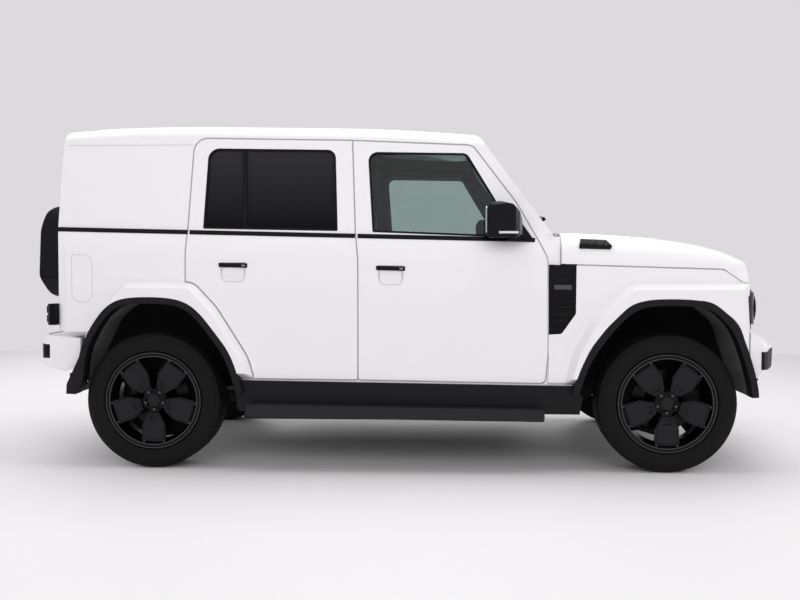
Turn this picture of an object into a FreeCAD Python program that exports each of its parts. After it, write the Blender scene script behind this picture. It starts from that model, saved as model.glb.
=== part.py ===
import FreeCAD, Part
import math
import os

V = FreeCAD.Vector

# Overall layout
wheelbase = 2735.0
front_axle_x = 1491.0
rear_axle_x = front_axle_x - wheelbase
half_width = 895.0          # body side, from the centre plane
flare_half_width = 957.0    # outer face of the wheel-arch flares
rear_face_x = -1797.0       # closed rear face of the body
belt_z = 1250.0             # waist crease above the ground, at X = 0
belt_slope = -0.024         # body lines fall towards the nose
side_bottom_z = 330.0
shoulder_z = 1175.0
shoulder_radius = 400.0
belt_step = 27.0            # how far the shoulder draws in at the waist
lean = 0.124                # inward lean of the upper sides
roof_edge_radius = 85.0
roof_crown = 14.0
nose_x = 1975.0

# Walls and gaps
side_wall = 120.0
pillar_wall = 62.0
roof_wall = 60.0
rear_wall = 110.0
skin = 12.0                 # outer skin of doors, fenders and tailgate
shut_gap = 7.0              # gap between closed panels
layer_gap = 6.0             # skin to the flange behind it
rabbet = 32.0               # how far the inner door stands back from its outline
inner_gap = 12.0            # inner door to the opening's flange
seat_gap = 0.3

# Wheels
tyre_radius = 366.0
tyre_width = 235.0
wheel_face_y = 930.0
rim_bead_radius = 241.0
rim_flange_radius = 259.0
spoke_count = 5
kingpin_y = 745.0
spindle_radius = 30.0
running_fit = 0.05

# Hinges of the doors and the tailgate
hinge_lead = 60.0           # pin ahead of the panel's edge
hinge_depth = 28.0          # pin inboard of the skin
hinge_pin_radius = 5.0
hinge_knuckle_radius = 10.0
hinge_height = 44.0
hinge_neck = 55.0           # how far the neck dips inboard of the pin
hinge_arm = 10.0
hinge_pocket = 70.0
door_hinge_z = (620.0, 1000.0)

wheel_y = wheel_face_y - tyre_width / 2


# Outline and prism helpers
def turned(points):
    total = 0.0
    for i, here in enumerate(points):
        after = points[(i + 1) % len(points)]
        total += here[0] * after[1] - after[0] * here[1]
    return points if total > 0 else points[::-1]


def inset(points, distance):
    # Moves each side of a closed outline inwards and keeps its corner arcs concentric
    ring = turned([(p[0], p[1], p[2] if len(p) > 2 else 0.0) for p in points])
    moved = []
    for i, (u, v, radius) in enumerate(ring):
        pu, pv = ring[i - 1][:2]
        nu, nv = ring[(i + 1) % len(ring)][:2]
        a = V(u - pu, v - pv, 0).normalize()
        b = V(nu - u, nv - v, 0).normalize()
        turn = a.x * b.y - a.y * b.x
        bisector = V(-a.y - b.y, a.x + b.x, 0)
        scale = distance / (1 + a.dot(b))
        new_radius = radius - distance if turn > 0 else radius + distance
        moved.append((u + bisector.x * scale, v + bisector.y * scale,
                      max(new_radius, 0.0) if radius > 0 else 0.0))
    return moved


def outline(points, place):
    # Closed wire through (u, v, corner radius) points
    corners = []
    count = len(points)
    for i, point in enumerate(points):
        here = V(point[0], point[1], 0)
        radius = point[2] if len(point) > 2 else 0.0
        before = (V(points[i - 1][0], points[i - 1][1], 0) - here).normalize()
        after = (V(points[(i + 1) % count][0], points[(i + 1) % count][1], 0) - here).normalize()
        half = before.getAngle(after) / 2
        if radius <= 0 or half > math.pi / 2 - 0.002:
            corners.append((here, None, here))
            continue
        reach = radius / math.tan(half)
        toward = (before + after).normalize()
        middle = here + toward * (radius / math.sin(half) - radius)
        corners.append((here + before * reach, middle, here + after * reach))
    edges = []
    for i, (start, middle, end) in enumerate(corners):
        if middle is not None:
            edges.append(Part.Arc(place(start), place(middle), place(end)).toShape())
        following = corners[(i + 1) % count][0]
        if (following - end).Length > 0.01:
            edges.append(Part.LineSegment(place(end), place(following)).toShape())
    return Part.Wire(edges)


def side_prism(points, y_from, y_to):
    face = Part.Face(outline(points, lambda p: V(p.x, y_from, p.y)))
    return face.extrude(V(0, y_to - y_from, 0))


def plan_prism(points, z_from, z_to, drift=0.0):
    # drift is how far the top of the prism stands ahead of its foot
    face = Part.Face(outline(points, lambda p: V(p.x, p.y, z_from)))
    return face.extrude(V(drift, 0, z_to - z_from))


def cross_prism(points, x_from, x_to, drop=0.0):
    face = Part.Face(outline(points, lambda p: V(x_from, p.x, p.y)))
    return face.extrude(V(x_to - x_from, 0, drop))


def block(x_from, x_to, y_from, y_to, z_from, z_to):
    return Part.makeBox(x_to - x_from, y_to - y_from, z_to - z_from, V(x_from, y_from, z_from))


def rod(start, end, radius):
    axis = end - start
    return Part.makeCylinder(radius, axis.Length, start, axis)


def other_side(shape):
    return shape.mirror(V(0, 0, 0), V(0, 1, 0))


def both_sides(shape):
    return Part.makeCompound([shape, other_side(shape)])


def mirrored_outline(half):
    # Completes a half outline given from the bottom centre up to the top centre, y > 0
    return half + [(-p[0],) + tuple(p[1:]) for p in reversed(half)]


def joined(shapes):
    whole = shapes[0].fuse(shapes[1:]) if len(shapes) > 1 else shapes[0]
    return whole.removeSplitter()


def solids_of(shape):
    found = shape.Solids
    return found[0] if len(found) == 1 else Part.makeCompound(found)


def save(node, shape):
    shape = solids_of(shape)
    shape.exportStep("parts/" + node + ".step")
    nodes[node] = shape
    print(node, len(shape.Solids), "solids", round(shape.Volume / 1e6, 2), "litres", shape.isValid())


nodes = {}


# Body form
body_rear_x = rear_face_x - 60
body_front_x = nose_x + 60


def belt_at(x):
    return belt_z + belt_slope * x


def side_body(depth):
    # Full-length body with upright sides, drawn-in shoulders and leaning upper sides
    y_side = half_width - depth
    shift = belt_slope * body_rear_x
    top = belt_z + 720
    half = [(y_side, side_bottom_z - 60 + shift, 0), (y_side, shoulder_z + shift, shoulder_radius),
            (y_side - belt_step, belt_z + shift, 0),
            (y_side - belt_step - lean * (top - belt_z), top + shift, 0)]
    length = body_front_x - body_rear_x
    solid = cross_prism(mirrored_outline(half), body_rear_x, body_front_x, belt_slope * length)
    return solid.cut(block(body_rear_x - 10, body_front_x + 10, -1000, 1000, 0, side_bottom_z))


def crowned_section(x, y_edge, z_edge, radius, crown, y_foot, z_foot):
    # Upright sides, rounded edges and a crowned top across the body
    lift = radius * (1 - math.sqrt(0.5))
    left = [V(x, -y_foot, z_foot), V(x, -y_edge, z_edge - radius),
            V(x, -y_edge + lift, z_edge - lift), V(x, -y_edge + radius, z_edge)]
    right = [V(p.x, -p.y, p.z) for p in left]
    edges = [Part.LineSegment(left[0], left[1]).toShape(),
             Part.Arc(left[1], left[2], left[3]).toShape(),
             Part.Arc(left[3], V(x, 0, z_edge + crown), right[3]).toShape(),
             Part.Arc(right[3], right[2], right[1]).toShape(),
             Part.LineSegment(right[1], right[0]).toShape(),
             Part.LineSegment(right[0], left[0]).toShape()]
    return Part.Wire(edges)


# Roof edge heights along the body, from the tail to beyond the windscreen header
roof_line = [(-1900, 1812), (-1707, 1832), (-995, 1853), (-545, 1846), (186, 1822), (560, 1790), (1000, 1740)]


def roof_form(depth):
    wires = []
    for x, z_edge in roof_line:
        z_arc = z_edge - roof_edge_radius
        y_lean = half_width - belt_step - lean * (z_arc - belt_at(x)) + 2.0
        wires.append(crowned_section(x, y_lean - depth, z_edge - depth, roof_edge_radius, roof_crown,
                                     y_lean + 100, belt_at(x) - 60))
    return Part.makeLoft(wires, True, False)


# Windscreen plane and cowl
screen_foot_x = 880.0
screen_foot_z = 1262.0
screen_rise_x = -365.0
screen_rise_z = 493.0
screen_bow = 48.0
bulkhead_x = 1000.0


def screen_mask(back):
    # Everything behind the bowed windscreen face, moved back by a distance
    per_z = screen_rise_x / screen_rise_z
    z_low = 1150.0
    z_high = 1950.0
    x_low = screen_foot_x + per_z * (z_low - screen_foot_z) - back
    corner = V(x_low, -960, z_low)
    middle = V(x_low + screen_bow, 0, z_low)
    edges = [Part.Arc(corner, middle, V(x_low, 960, z_low)).toShape(),
             Part.LineSegment(V(x_low, 960, z_low), V(-2200, 960, z_low)).toShape(),
             Part.LineSegment(V(-2200, 960, z_low), V(-2200, -960, z_low)).toShape(),
             Part.LineSegment(V(-2200, -960, z_low), corner).toShape()]
    return Part.Face(Part.Wire(edges)).extrude(V(per_z * (z_high - z_low), 0, z_high - z_low))


cowl_z = 1246.0
rear_corner_radius = 105.0
rear_lean_x = 40.0


def rear_mask(depth):
    # Plan outline with rounded rear corners, upright below the waist and leaning above it
    z_break = 1290.0
    z_top = 1950.0
    x = rear_face_x + depth
    y = half_width - 0.5 * depth
    plan = [(1100, -y - 4), (x, -y - 4, rear_corner_radius), (x, y + 4, rear_corner_radius), (1100, y + 4)]
    lower = plan_prism(plan, 150, z_break)
    upper = plan_prism(plan, z_break - 0.0, z_top, rear_lean_x / (1759.0 - z_break) * (z_top - z_break))
    return lower.fuse(upper)


header_radius = 150.0
tail_radius = 75.0


def rear_at(z, depth=0.0):
    return rear_face_x + depth + rear_lean_x * (z - 1290.0) / (1759.0 - 1290.0)


def cab_profile(depth):
    # Side view of the cab: rear top corner and windscreen header rounded
    top = roof_line[2][1] + roof_crown + 1 - depth
    per_z = screen_rise_x / screen_rise_z
    header_x = screen_foot_x + per_z * (top - screen_foot_z) + screen_bow + 1 - depth
    foot_x = header_x - per_z * (top - 1000)
    return [(-2200, 100, 0), (-2200, 1280, 0), (rear_at(1290) - 0.3, 1290, 0), (rear_at(top) - 0.3, top - 18, tail_radius),
            (0, top, 0), (header_x, top - 48, header_radius), (foot_x, 1000, 0), (foot_x, 100, 0)]


def cab_solid(depth, top_depth, rear_depth, screen_back):
    lower = block(-1950, bulkhead_x - screen_back * 0.6, -1000, 1000, 200, cowl_z)
    upper = roof_form(top_depth).common(screen_mask(screen_back))
    form = side_body(depth).common(lower.fuse(upper))
    form = form.common(side_prism(cab_profile(rear_depth * 0.5), -1000, 1000))
    return form.common(rear_mask(rear_depth))


# Nose form
bonnet_line = [(860, 1268, 150), (1048, 1263, 150), (1236, 1252, 150), (1424, 1237, 145), (1612, 1212, 130),
               (1800, 1160, 90), (1988, 1040, 45)]
nose_corner_radius = 185.0


def nose_form(depth):
    # Bonnet and fender surfaces: crowned top that falls and narrows its edge radius to the nose
    wires = []
    for x, z_edge, radius in bonnet_line:
        wires.append(crowned_section(x, half_width, z_edge - depth, radius, 16.0, half_width + 40, side_bottom_z))
    form = Part.makeLoft(wires, True, False).common(block(860, 2200, -half_width + depth, half_width - depth,
                                                          side_bottom_z, 1500))
    front = nose_x - depth
    y = half_width - depth * 0.5
    plan = [(700, -y - 1), (front, -y - 1, nose_corner_radius), (front + 22, 0), (front, y + 1, nose_corner_radius),
            (700, y + 1)]
    face_profile = [(700, 200, 0), (front + 30, 200, 0), (front + 30, 985, 0), (front - 46, 990, 0),
                    (front - 50, 1020, 40), (front - 80, 1116, 22), (front - 190, 1170, 0), (front - 190, 1400, 0),
                    (700, 1400, 0)]
    return form.common(plan_prism(plan, 200, 1500)).common(side_prism(face_profile, -1000, 1000))


# Door and window outlines on the right side, as (x, z, corner radius), along the middle of the gaps
rear_door_line = [(-140, 480, 14), (-140, 1130, 0), (-155, 1262, 0), (-175, 1767, 8), (-1036, 1784, 78),
                  (-1062, 1290, 0), (-1070, 1165, 0), (-1073, 486, 10)]
front_door_line = [(-140, 480, 14), (856, 466, 30), (871, 640, 0), (867, 1130, 90), (818, 1226, 60),
                   (703, 1427, 0), (470, 1737, 60), (-175, 1767, 8), (-155, 1262, 0), (-140, 1130, 0)]
rear_window_line = [(-250, 1276, 8), (-266, 1716, 48), (-958, 1728, 62), (-980, 1290, 8)]
front_window_line = [(-64, 1270, 8), (-92, 1704, 50), (440, 1694, 42), (596, 1436, 0), (714, 1346, 0), (776, 1236, 8)]
waist_cut_z = 1200.0
b_post_front = 98.0         # depth of the door pillar ahead of the gap, below the waist


def inner_door_line(line, front_door):
    # Outline of the thick inner door, which stands back from the skin's edge
    shape = side_prism(inset(line, rabbet), -1200, 1200)
    if front_door:
        edge = -140 + b_post_front + inner_gap
        return shape.cut(block(-300, edge, -1200, 1200, 0, waist_cut_z))
    return shape


def inner_opening_line(line, front_door):
    shape = side_prism(inset(line, rabbet - inner_gap), -1200, 1200)
    if front_door:
        return shape.cut(block(-300, -140 + b_post_front, -1200, 1200, 0, waist_cut_z - inner_gap))
    return shape


# Wheel arches as (x, z, corner radius), on the right side
front_arch_line = [(1024, 395, 0), (1094, 622, 400), (1192, 748, 350), (1322, 876, 140), (1692, 880, 130),
                   (1822, 772, 150), (1902, 515, 60), (1916, 395, 0)]
rear_arch_line = [(-783, 395, 0), (-852, 612, 250), (-1048, 868, 140), (-1395, 892, 150), (-1510, 795, 140),
                  (-1602, 610, 160), (-1612, 462, 12), (-1655, 395, 0)]
front_flare_line = [(955, 466, 8), (1003, 640, 400), (1105, 822, 250), (1290, 994, 110), (1904, 998, 12),
                    (1918, 760, 40), (1918, 470, 0)]
rear_flare_line = [(-705, 488, 8), (-734, 594, 300), (-905, 868, 400), (-1030, 1000, 90), (-1400, 1003, 80),
                   (-1478, 930, 60), (-1622, 715, 12), (-1640, 600, 40), (-1640, 488, 0)]
flare_rise = 30.0
arch_trim_depth = 30.0
lip_foot_z = 407.0
lip_inner_y = half_width - 30.0
mud_flap_line = [(-1600, 612, 0), (-1634, 606, 12), (-1703, 458, 10), (-1706, 404, 8), (-1666, 400, 8), (-1622, 452, 0)]


def flare(outer_line, arch_line, lip):
    # A flare with a sloping upper bevel, cut by its arch
    foot = outline(turned(outer_line), lambda p: V(p.x, -half_width, p.y))
    top = outline(inset(outer_line, flare_rise), lambda p: V(p.x, -flare_half_width, p.y))
    body = Part.makeLoft([foot, top], True, True)
    return body.cut(side_prism(inset(arch_line, -lip), -1100, -800))


right_cab = cab_solid(0, 0, 0, 0).common(block(-2000, 1100, -1000, 0, 0, 2000))
side_12 = side_body(skin)
side_18 = side_body(skin + layer_gap)
cabin = cab_solid(pillar_wall, roof_wall, rear_wall, 60).common(
    joined([block(-2000, 2000, -(half_width - side_wall), half_width - side_wall, 0, 1225),
            block(-2000, 2000, -900, 900, 1224, 2000)]))
right_half = block(-2300, 2300, -1100, 0, 0, 2100)
upper_split_z = 1747.0


def hinge_place(axis_x, axis_y):
    # Door hinge on the right side: u runs ahead of the pin, v inboard of it
    return lambda u, v, z: V(axis_x + u, axis_y + v, z)


def hinge_leaf(place, z_middle, tail):
    # Knuckle with a swan neck that dips inboard and runs back into the inner door
    half = hinge_arm / 2
    neck = hinge_neck
    z_low = z_middle - hinge_height / 2
    points = [(-6, 0, 0), (6, 0, 0), (2, neck + half, 8), (-tail, neck + half, 0), (-tail, neck - half, 0),
              (-8, neck - half, 6)]
    wire = outline(points, lambda p: place(p.x, p.y, z_low))
    arm = Part.Face(wire).extrude(V(0, 0, hinge_height))
    knuckle = Part.makeCylinder(hinge_knuckle_radius, hinge_height, place(0, 0, z_low), V(0, 0, 1))
    bore = Part.makeCylinder(hinge_pin_radius + running_fit, hinge_height + 2, place(0, 0, z_low - 1), V(0, 0, 1))
    return arm.fuse(knuckle).cut(bore)


def hinge_space(place, z_middle):
    z_low = z_middle - hinge_height / 2 - layer_gap
    corners = [(-84, -40), (16, -40), (16, hinge_pocket), (-84, hinge_pocket)]
    wire = Part.makePolygon([place(u, v, z_low) for u, v in corners + corners[:1]])
    return Part.Face(wire).extrude(V(0, 0, hinge_height + 2 * layer_gap))


def hinge_pin(place, z_middle):
    length = hinge_height + 2 * layer_gap
    return Part.makeCylinder(hinge_pin_radius, length, place(0, 0, z_middle - length / 2), V(0, 0, 1))


rear_hinge_x = -140 - shut_gap / 2 + hinge_lead
front_hinge_x = 869.0 - shut_gap / 2 + hinge_lead
hinge_y = -(half_width - hinge_depth)


def swing_relief(axis_x):
    # Keeps the leading edge clear of the panel ahead while the door swings
    reach = math.hypot(hinge_lead, hinge_depth) - 1.3
    drum = Part.makeCylinder(reach, waist_cut_z - 300, V(axis_x, hinge_y, 300), V(0, 0, 1))
    return drum.common(block(axis_x - 200, axis_x + 200, -1100, hinge_y, 0, 2000))


handle_x = (35.0, -811.0)
handle_drop = 160.0
cup_depth = 8.0
side_cup = side_body(cup_depth)


def door_solid(line, window_line, axis_x, front_door):
    skin_prism = side_prism(inset(line, shut_gap / 2), -1100, 0)
    outer = right_cab.common(skin_prism)
    slab = outer.cut(side_12)
    inner = right_cab.common(side_12).common(inner_door_line(line, front_door)).cut(cabin)
    door = slab.fuse(inner)
    door = door.cut(side_prism(window_line, -1100, 0))
    pane_pocket = side_prism(inset(window_line, -8.0), -1100, 0).common(side_12)
    door = door.cut(pane_pocket)
    door = door.cut(swing_relief(axis_x))
    if not front_door:
        door = door.cut(side_prism(inset(rear_flare_line, -shut_gap), -1100, -500))
    # Finger cup under the outer handle
    x_cup = handle_x[0] if front_door else handle_x[1]
    z_cup = belt_at(x_cup) - handle_drop
    cup = side_prism([(x_cup - 68, z_cup - 86, 34), (x_cup + 68, z_cup - 86, 34), (x_cup + 68, z_cup, 5),
                      (x_cup - 68, z_cup, 5)], -1100, -800)
    door = door.cut(cup.cut(side_cup))
    place = hinge_place(axis_x, hinge_y)
    for z in door_hinge_z:
        door = door.fuse(hinge_leaf(place, z, 105.0))
    return door


def pane(window_line):
    sheet = side_prism(inset(window_line, -8.0 + seat_gap), -1100, 0)
    layer = side_body(skin).cut(side_body(skin + 5.0))
    return sheet.common(layer)


# Tailgate, hinged at its left edge
gate_half = 700.0
gate_line = [(-gate_half, 752, 40), (gate_half, 752, 40), (gate_half, 1290, 0), (gate_half - 60, 1700, 60),
             (-gate_half + 60, 1700, 60), (-gate_half, 1290, 0)]
gate_window_line = [(-560, 1330, 40), (560, 1330, 40), (535, 1640, 50), (-535, 1640, 50)]
gate_hinge_y = gate_half - shut_gap / 2 + hinge_lead
gate_hinge_x = rear_face_x + hinge_depth
gate_hinge_z = (850.0, 1180.0)


def rear_prism(points, x_from, x_to):
    face = Part.Face(outline(points, lambda p: V(x_from, p.x, p.y)))
    return face.extrude(V(x_to - x_from, 0, 0))


def gate_place(u, v, z):
    return V(gate_hinge_x + v, gate_hinge_y + u, z)


def gate_relief():
    reach = math.hypot(hinge_lead, hinge_depth) - 1.3
    drum = Part.makeCylinder(reach, 590, V(gate_hinge_x, gate_hinge_y, 700), V(0, 0, 1))
    return drum.common(block(-2300, gate_hinge_x, 500, 900, 0, 2000))


full_cab = cab_solid(0, 0, 0, 0)
rear_12 = rear_mask(skin)
rear_18 = rear_mask(skin + layer_gap)


def tailgate():
    outer = full_cab.common(rear_prism(inset(gate_line, shut_gap / 2), -2000, rear_face_x + 300))
    slab = outer.cut(rear_12)
    thick = full_cab.common(rear_12).common(rear_prism(inset(gate_line, rabbet), -2000, rear_face_x + 300)).cut(cabin)
    gate = slab.fuse(thick)
    gate = gate.cut(rear_prism(gate_window_line, -2100, rear_face_x + 300))
    gate = gate.cut(rear_prism(inset(gate_window_line, -8.0), -2100, rear_face_x + 300).common(rear_12))
    gate = gate.cut(gate_relief())
    for z in gate_hinge_z:
        gate = gate.fuse(hinge_leaf(gate_place, z, 105.0))
    return gate


def gate_opening():
    outer = rear_prism(inset(gate_line, -shut_gap / 2), -2100, rear_face_x + 300).cut(rear_18)
    return outer.fuse(rear_prism(inset(gate_line, rabbet - inner_gap), -2100, rear_face_x + 300))


def gate_pane():
    sheet = rear_prism(inset(gate_window_line, -8.0 + seat_gap), -2100, rear_face_x + 300)
    return sheet.common(rear_12.cut(rear_mask(skin + 5.0))).common(full_cab)


# Storage case on the tailgate
case_outer_x = -2111.0
case_half_width = 330.0
case_line = [(-1830, 905, 30), (-2052, 905, 60), (-2112, 1030, 90), (-2100, 1300, 200), (-2062, 1445, 75),
             (-1990, 1452, 40), (-1830, 1400, 20)]


def storage_case():
    body = side_prism(case_line, -case_half_width, case_half_width)
    pedestal = block(-1900, -1700, -150, 150, 1000, 1250)
    front = rear_prism([(-case_half_width, 880, 150), (case_half_width, 880, 150),
                        (case_half_width, 1470, 150), (-case_half_width, 1470, 150)], -2200, -1700)
    return joined([body.common(front), pedestal]).cut(rear_mask(-seat_gap))


def door_opening(line, front_door):
    outer = side_prism(inset(line, -shut_gap / 2), -1100, -500).cut(side_18)
    return outer.fuse(inner_opening_line(line, front_door).common(right_half))


def body_shell():
    shell = right_cab.cut(cabin)
    shell = shell.cut(block(-2300, 2300, -(half_width - side_wall), 10, 0, floor_z))
    # Front of the cowl stays clear of the bonnet's rear edge, its skirts and its arms
    shell = shell.cut(block(bonnet_corner_x - shut_gap, 1300, -1000, -735, seam_z(960) - 12, 1500))
    shell = shell.cut(rear_prism(screen_line, 200, 1400).cut(screen_mask(200)))
    shell = shell.cut(block(cowl_front_x, 1300, -1000, 1000, 1180, 1500))
    shell = shell.cut(block(bonnet_hinge_x - 30, 1300, -bonnet_arm_y - 12, -bonnet_arm_y + 12, 1195, 1500))
    shell = shell.cut(gate_opening())
    for line, front_panel in ((rear_door_line, False), (front_door_line, True)):
        shell = shell.cut(door_opening(line, front_panel))
    for axis_x in (rear_hinge_x, front_hinge_x):
        place = hinge_place(axis_x, hinge_y)
        for z in door_hinge_z:
            shell = shell.cut(hinge_space(place, z)).fuse(hinge_pin(place, z))
    # Fender skins lie over the hinge post
    fender_bed = block(869.0 - shut_gap / 2 - 1, 1200, -1100, 0, 0, seam_z(1000) + 160)
    shell = shell.cut(fender_bed.cut(side_body(skin + seat_gap)))
    shell = shell.cut(block(rear_arch_line[-1][0], -790, -1100, -590, 0, 640))
    for arch_line in (rear_arch_line, front_arch_line):
        shell = shell.cut(side_prism(inset(arch_line, -arch_trim_depth - seat_gap), -1100, -590))
    shell = shell.cut(block(-1900, -1560, -1100, 10, 0, tail_bottom_z))
    whole = shell.fuse(other_side(shell))
    for z in gate_hinge_z:
        whole = whole.cut(hinge_space(gate_place, z)).fuse(hinge_pin(gate_place, z))
    return whole.fuse(bonnet_pins())


tail_bottom_z = 735.0
floor_z = 425.0
floor_thick = 40.0
cowl_front_x = 953.0
bonnet_rear_x = 960.0
bonnet_corner_x = 940.0
bonnet_hinge_x = 880.0
bonnet_hinge_z = 1224.0
bonnet_arm_y = 755.0


def seam_z(x):
    return 1095.0 - 0.031 * (x - 1034.0)


screen_line = [(-815, 1262, 40), (815, 1262, 40), (735, 1742, 90), (-735, 1742, 90)]


screen_sink = 4.0
screen_thick = 6.0


def windscreen():
    sheet = rear_prism(inset(screen_line, seat_gap), 200, 1400)
    return sheet.common(screen_mask(screen_sink).cut(screen_mask(screen_sink + screen_thick)))


# Bonnet, fenders and flares
bonnet_thick = 28.0
fender_front_x = 1934.0
nose = nose_form(0)
nose_12 = nose_form(skin)
nose_core = nose_form(bonnet_thick)
fender_rear_x = 869.0 + shut_gap / 2


def seam_band(offset):
    # Everything above the bonnet's shut line, which falls to the nose
    points = [(600, seam_z(600) + offset), (1780, seam_z(1780) + offset, 60), (1890, 1000 + offset, 20),
              (2200, 1000 + offset), (2200, 1600), (600, 1600)]
    return side_prism(points, -1200, 1200)


def bonnet():
    top = nose.cut(nose_core).common(seam_band(shut_gap / 2))
    top = top.cut(block(500, bonnet_rear_x, -740, 740, 900, 1500))
    top = top.cut(block(500, bonnet_corner_x, -1000, 1000, 900, 1500))
    for side in (1, -1):
        y = side * bonnet_arm_y
        arm = side_prism([(bonnet_hinge_x - 11, bonnet_hinge_z - 11, 9), (1090, 1195, 10), (1090, 1244, 0),
                          (1002, 1247, 0), (986, 1222, 0), (bonnet_hinge_x - 11, bonnet_hinge_z + 11, 9)], y - 4, y + 4)
        bore = rod(V(bonnet_hinge_x, y - 10, bonnet_hinge_z), V(bonnet_hinge_x, y + 10, bonnet_hinge_z),
                   6.0 + running_fit)
        top = top.fuse(arm.cut(bore))
    return top


def bonnet_pins():
    pins = [rod(V(bonnet_hinge_x, s * (bonnet_arm_y + 25), bonnet_hinge_z),
                V(bonnet_hinge_x, s * (bonnet_arm_y - 8), bonnet_hinge_z), 6.0) for s in (1, -1)]
    return pins


def fender():
    panel = nose.cut(nose_12).common(block(fender_rear_x, 2200, -1000, 0, 470, 1500))
    panel = panel.cut(seam_band(-shut_gap / 2))
    panel = panel.cut(side_prism(inset(front_arch_line, -arch_trim_depth), -1100, -500))
    panel = panel.cut(block(fender_front_x, 2200, -1000, 0, 0, 1500))
    panel = panel.cut(headlamp_bed(-1, seat_gap)).cut(side_prism(vent_line, -1100, -800))
    return panel.cut(side_prism(bumper_cut, -1100, 0)).fuse(seam_gutter())


def seam_gutter():
    # Flange and upright behind the bonnet's shut line
    x_from, x_to = 1022.0, 1775.0
    y_skin = -(half_width - skin) - 1
    y_foot = -(half_width - bonnet_thick - shut_gap) + 9

    def strip(y_from, y_to, low, high):
        points = [(x_from, seam_z(x_from) + low), (x_to, seam_z(x_to) + low), (x_to, seam_z(x_to) + high),
                  (x_from, seam_z(x_from) + high)]
        return side_prism(points, y_from, y_to)
    return strip(y_skin, y_foot, -32, -10).fuse(strip(y_foot - 9, y_foot, -32, 16))


bumper_cut = [(1880, 0), (1880, 745), (2300, 745), (2300, 0)]
vent_line = [(860, 1110, 0), (1017, 1110, 0), (1015, 837, 25), (940, 730, 22), (860, 726, 0)]


def fender_vent():
    # Sunk dark panel between the door and the arch, with a raised bar across it
    face_y = half_width - 4
    panel = side_prism(inset(vent_line, seat_gap), -face_y, -(half_width - skin))
    panel = panel.common(block(fender_rear_x, 1100, -1000, 0, 0, 1200)).cut(seam_band(-shut_gap / 2))
    bar = side_prism([(898, 964, 3), (994, 964, 3), (994, 992, 3), (898, 992, 3)], -face_y - 7, -face_y)
    slot = side_prism([(890, 1000, 6), (1002, 1000, 6), (1002, 1070, 6), (890, 1070, 6)], -face_y - 1, -face_y + 5)
    pocket = side_prism([(890, 770, 6), (945, 770, 20), (1000, 850, 20), (1002, 950, 6), (890, 950, 6)],
                        -face_y - 1, -face_y + 5)
    return panel.cut(slot).cut(pocket).fuse(bar)


def liner(arch_line, y_inner, reach, axle_x):
    # Arch tunnel from the flare's lip to the inner wall
    outer = side_prism(inset(arch_line, -reach), -(lip_inner_y - seat_gap), -y_inner)
    inner = side_prism(inset(arch_line, -reach + 5), -1000, -y_inner - 4)
    tunnel = outer.cut(inner)
    tunnel = tunnel.cut(block(-2300, 2300, -1000, 0, 0, lip_foot_z))
    return tunnel.cut(block(axle_x - 180, axle_x + 180, -y_inner - 6, -y_inner + 6, 0, 610))


def lip(arch_line):
    # Dark moulding round the inside edge of a flare
    ring = side_prism(inset(arch_line, -arch_trim_depth), -(flare_half_width - 2), -lip_inner_y)
    ring = ring.cut(side_prism(arch_line, -1000, -800))
    ring = ring.cut(block(-2300, 2300, -1000, 0, 0, lip_foot_z))
    if arch_line is rear_arch_line:
        ring = ring.fuse(side_prism(mud_flap_line, -(flare_half_width - 2), -lip_inner_y))
    return ring


lip_depth = arch_trim_depth + seat_gap
front_flare = flare(front_flare_line, front_arch_line, lip_depth)
flap_space = both_sides(side_prism(inset(mud_flap_line, -seat_gap), -1100, -lip_inner_y + 2))
rear_flare = flare(rear_flare_line, rear_arch_line, lip_depth).cut(flap_space)


# Bumpers, lamps and grille
front_bumper_line = [(1921, 500, 0), (1990, 500, 15), (2076, 545, 25), (2080, 662, 28), (2042, 698, 20),
                     (1996, 726, 20), (1921, 742, 0)]
bumper_back_x = 1921.0
bumper_plan = [(-900, 0.46), (-872, 0.62), (-752, 1.0), (-560, 1.09), (-280, 1.17), (0, 1.2)]


def bumper_form(line, grow):
    # Bumper section carried across the car; its depth ahead of the mounting face shrinks round the corners
    wires = []
    half = [(y * (1 - grow / 900.0), share) for y, share in bumper_plan]
    for y, share in half + [(-y, share) for y, share in reversed(half[:-1])]:
        points = [(bumper_back_x + (u - bumper_back_x) * share, v, r * share) for u, v, r in inset(line, grow)]
        wires.append(outline(points, lambda p: V(p.x, y, p.y)))
    return Part.makeLoft(wires, True, True)


corner_lamp_line = [(2004, 548, 0), (2035, 537, 8), (2120, 537, 0), (2120, 652, 0), (2050, 652, 8), (2006, 637, 0)]
grille_z = (752.0, 985.0)


def front_bumper():
    body = bumper_form(front_bumper_line, 0)
    body = body.cut(block(1900, 2020, -640, 640, 540, 665))
    body = body.cut(block(1800, 2300, -430, 430, 560, 640))
    body = body.cut(side_prism(inset(front_arch_line, -arch_trim_depth - seat_gap), -1100, 1100))
    for side in (1, -1):
        body = body.cut(corner_lamp_block(side, seat_gap))
    return body


def corner_lamp_block(side, grow):
    lamp = side_prism(inset(corner_lamp_line, -grow), -1000, -700 + grow)
    if grow == 0:
        lamp = lamp.common(bumper_form(front_bumper_line, -1.0))
    lamp = lamp.cut(bumper_form(front_bumper_line, 22 + grow))
    return other_side(lamp) if side > 0 else lamp


# Chamfer along the top of the grille and the lamps
grille_slope = side_prism([(1934, 990, 0), (1934, 968, 0), (1960, 963, 18), (1978, 930, 0), (2100, 930, 0),
                           (2100, 990, 0)], -1000, 1000)


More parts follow.
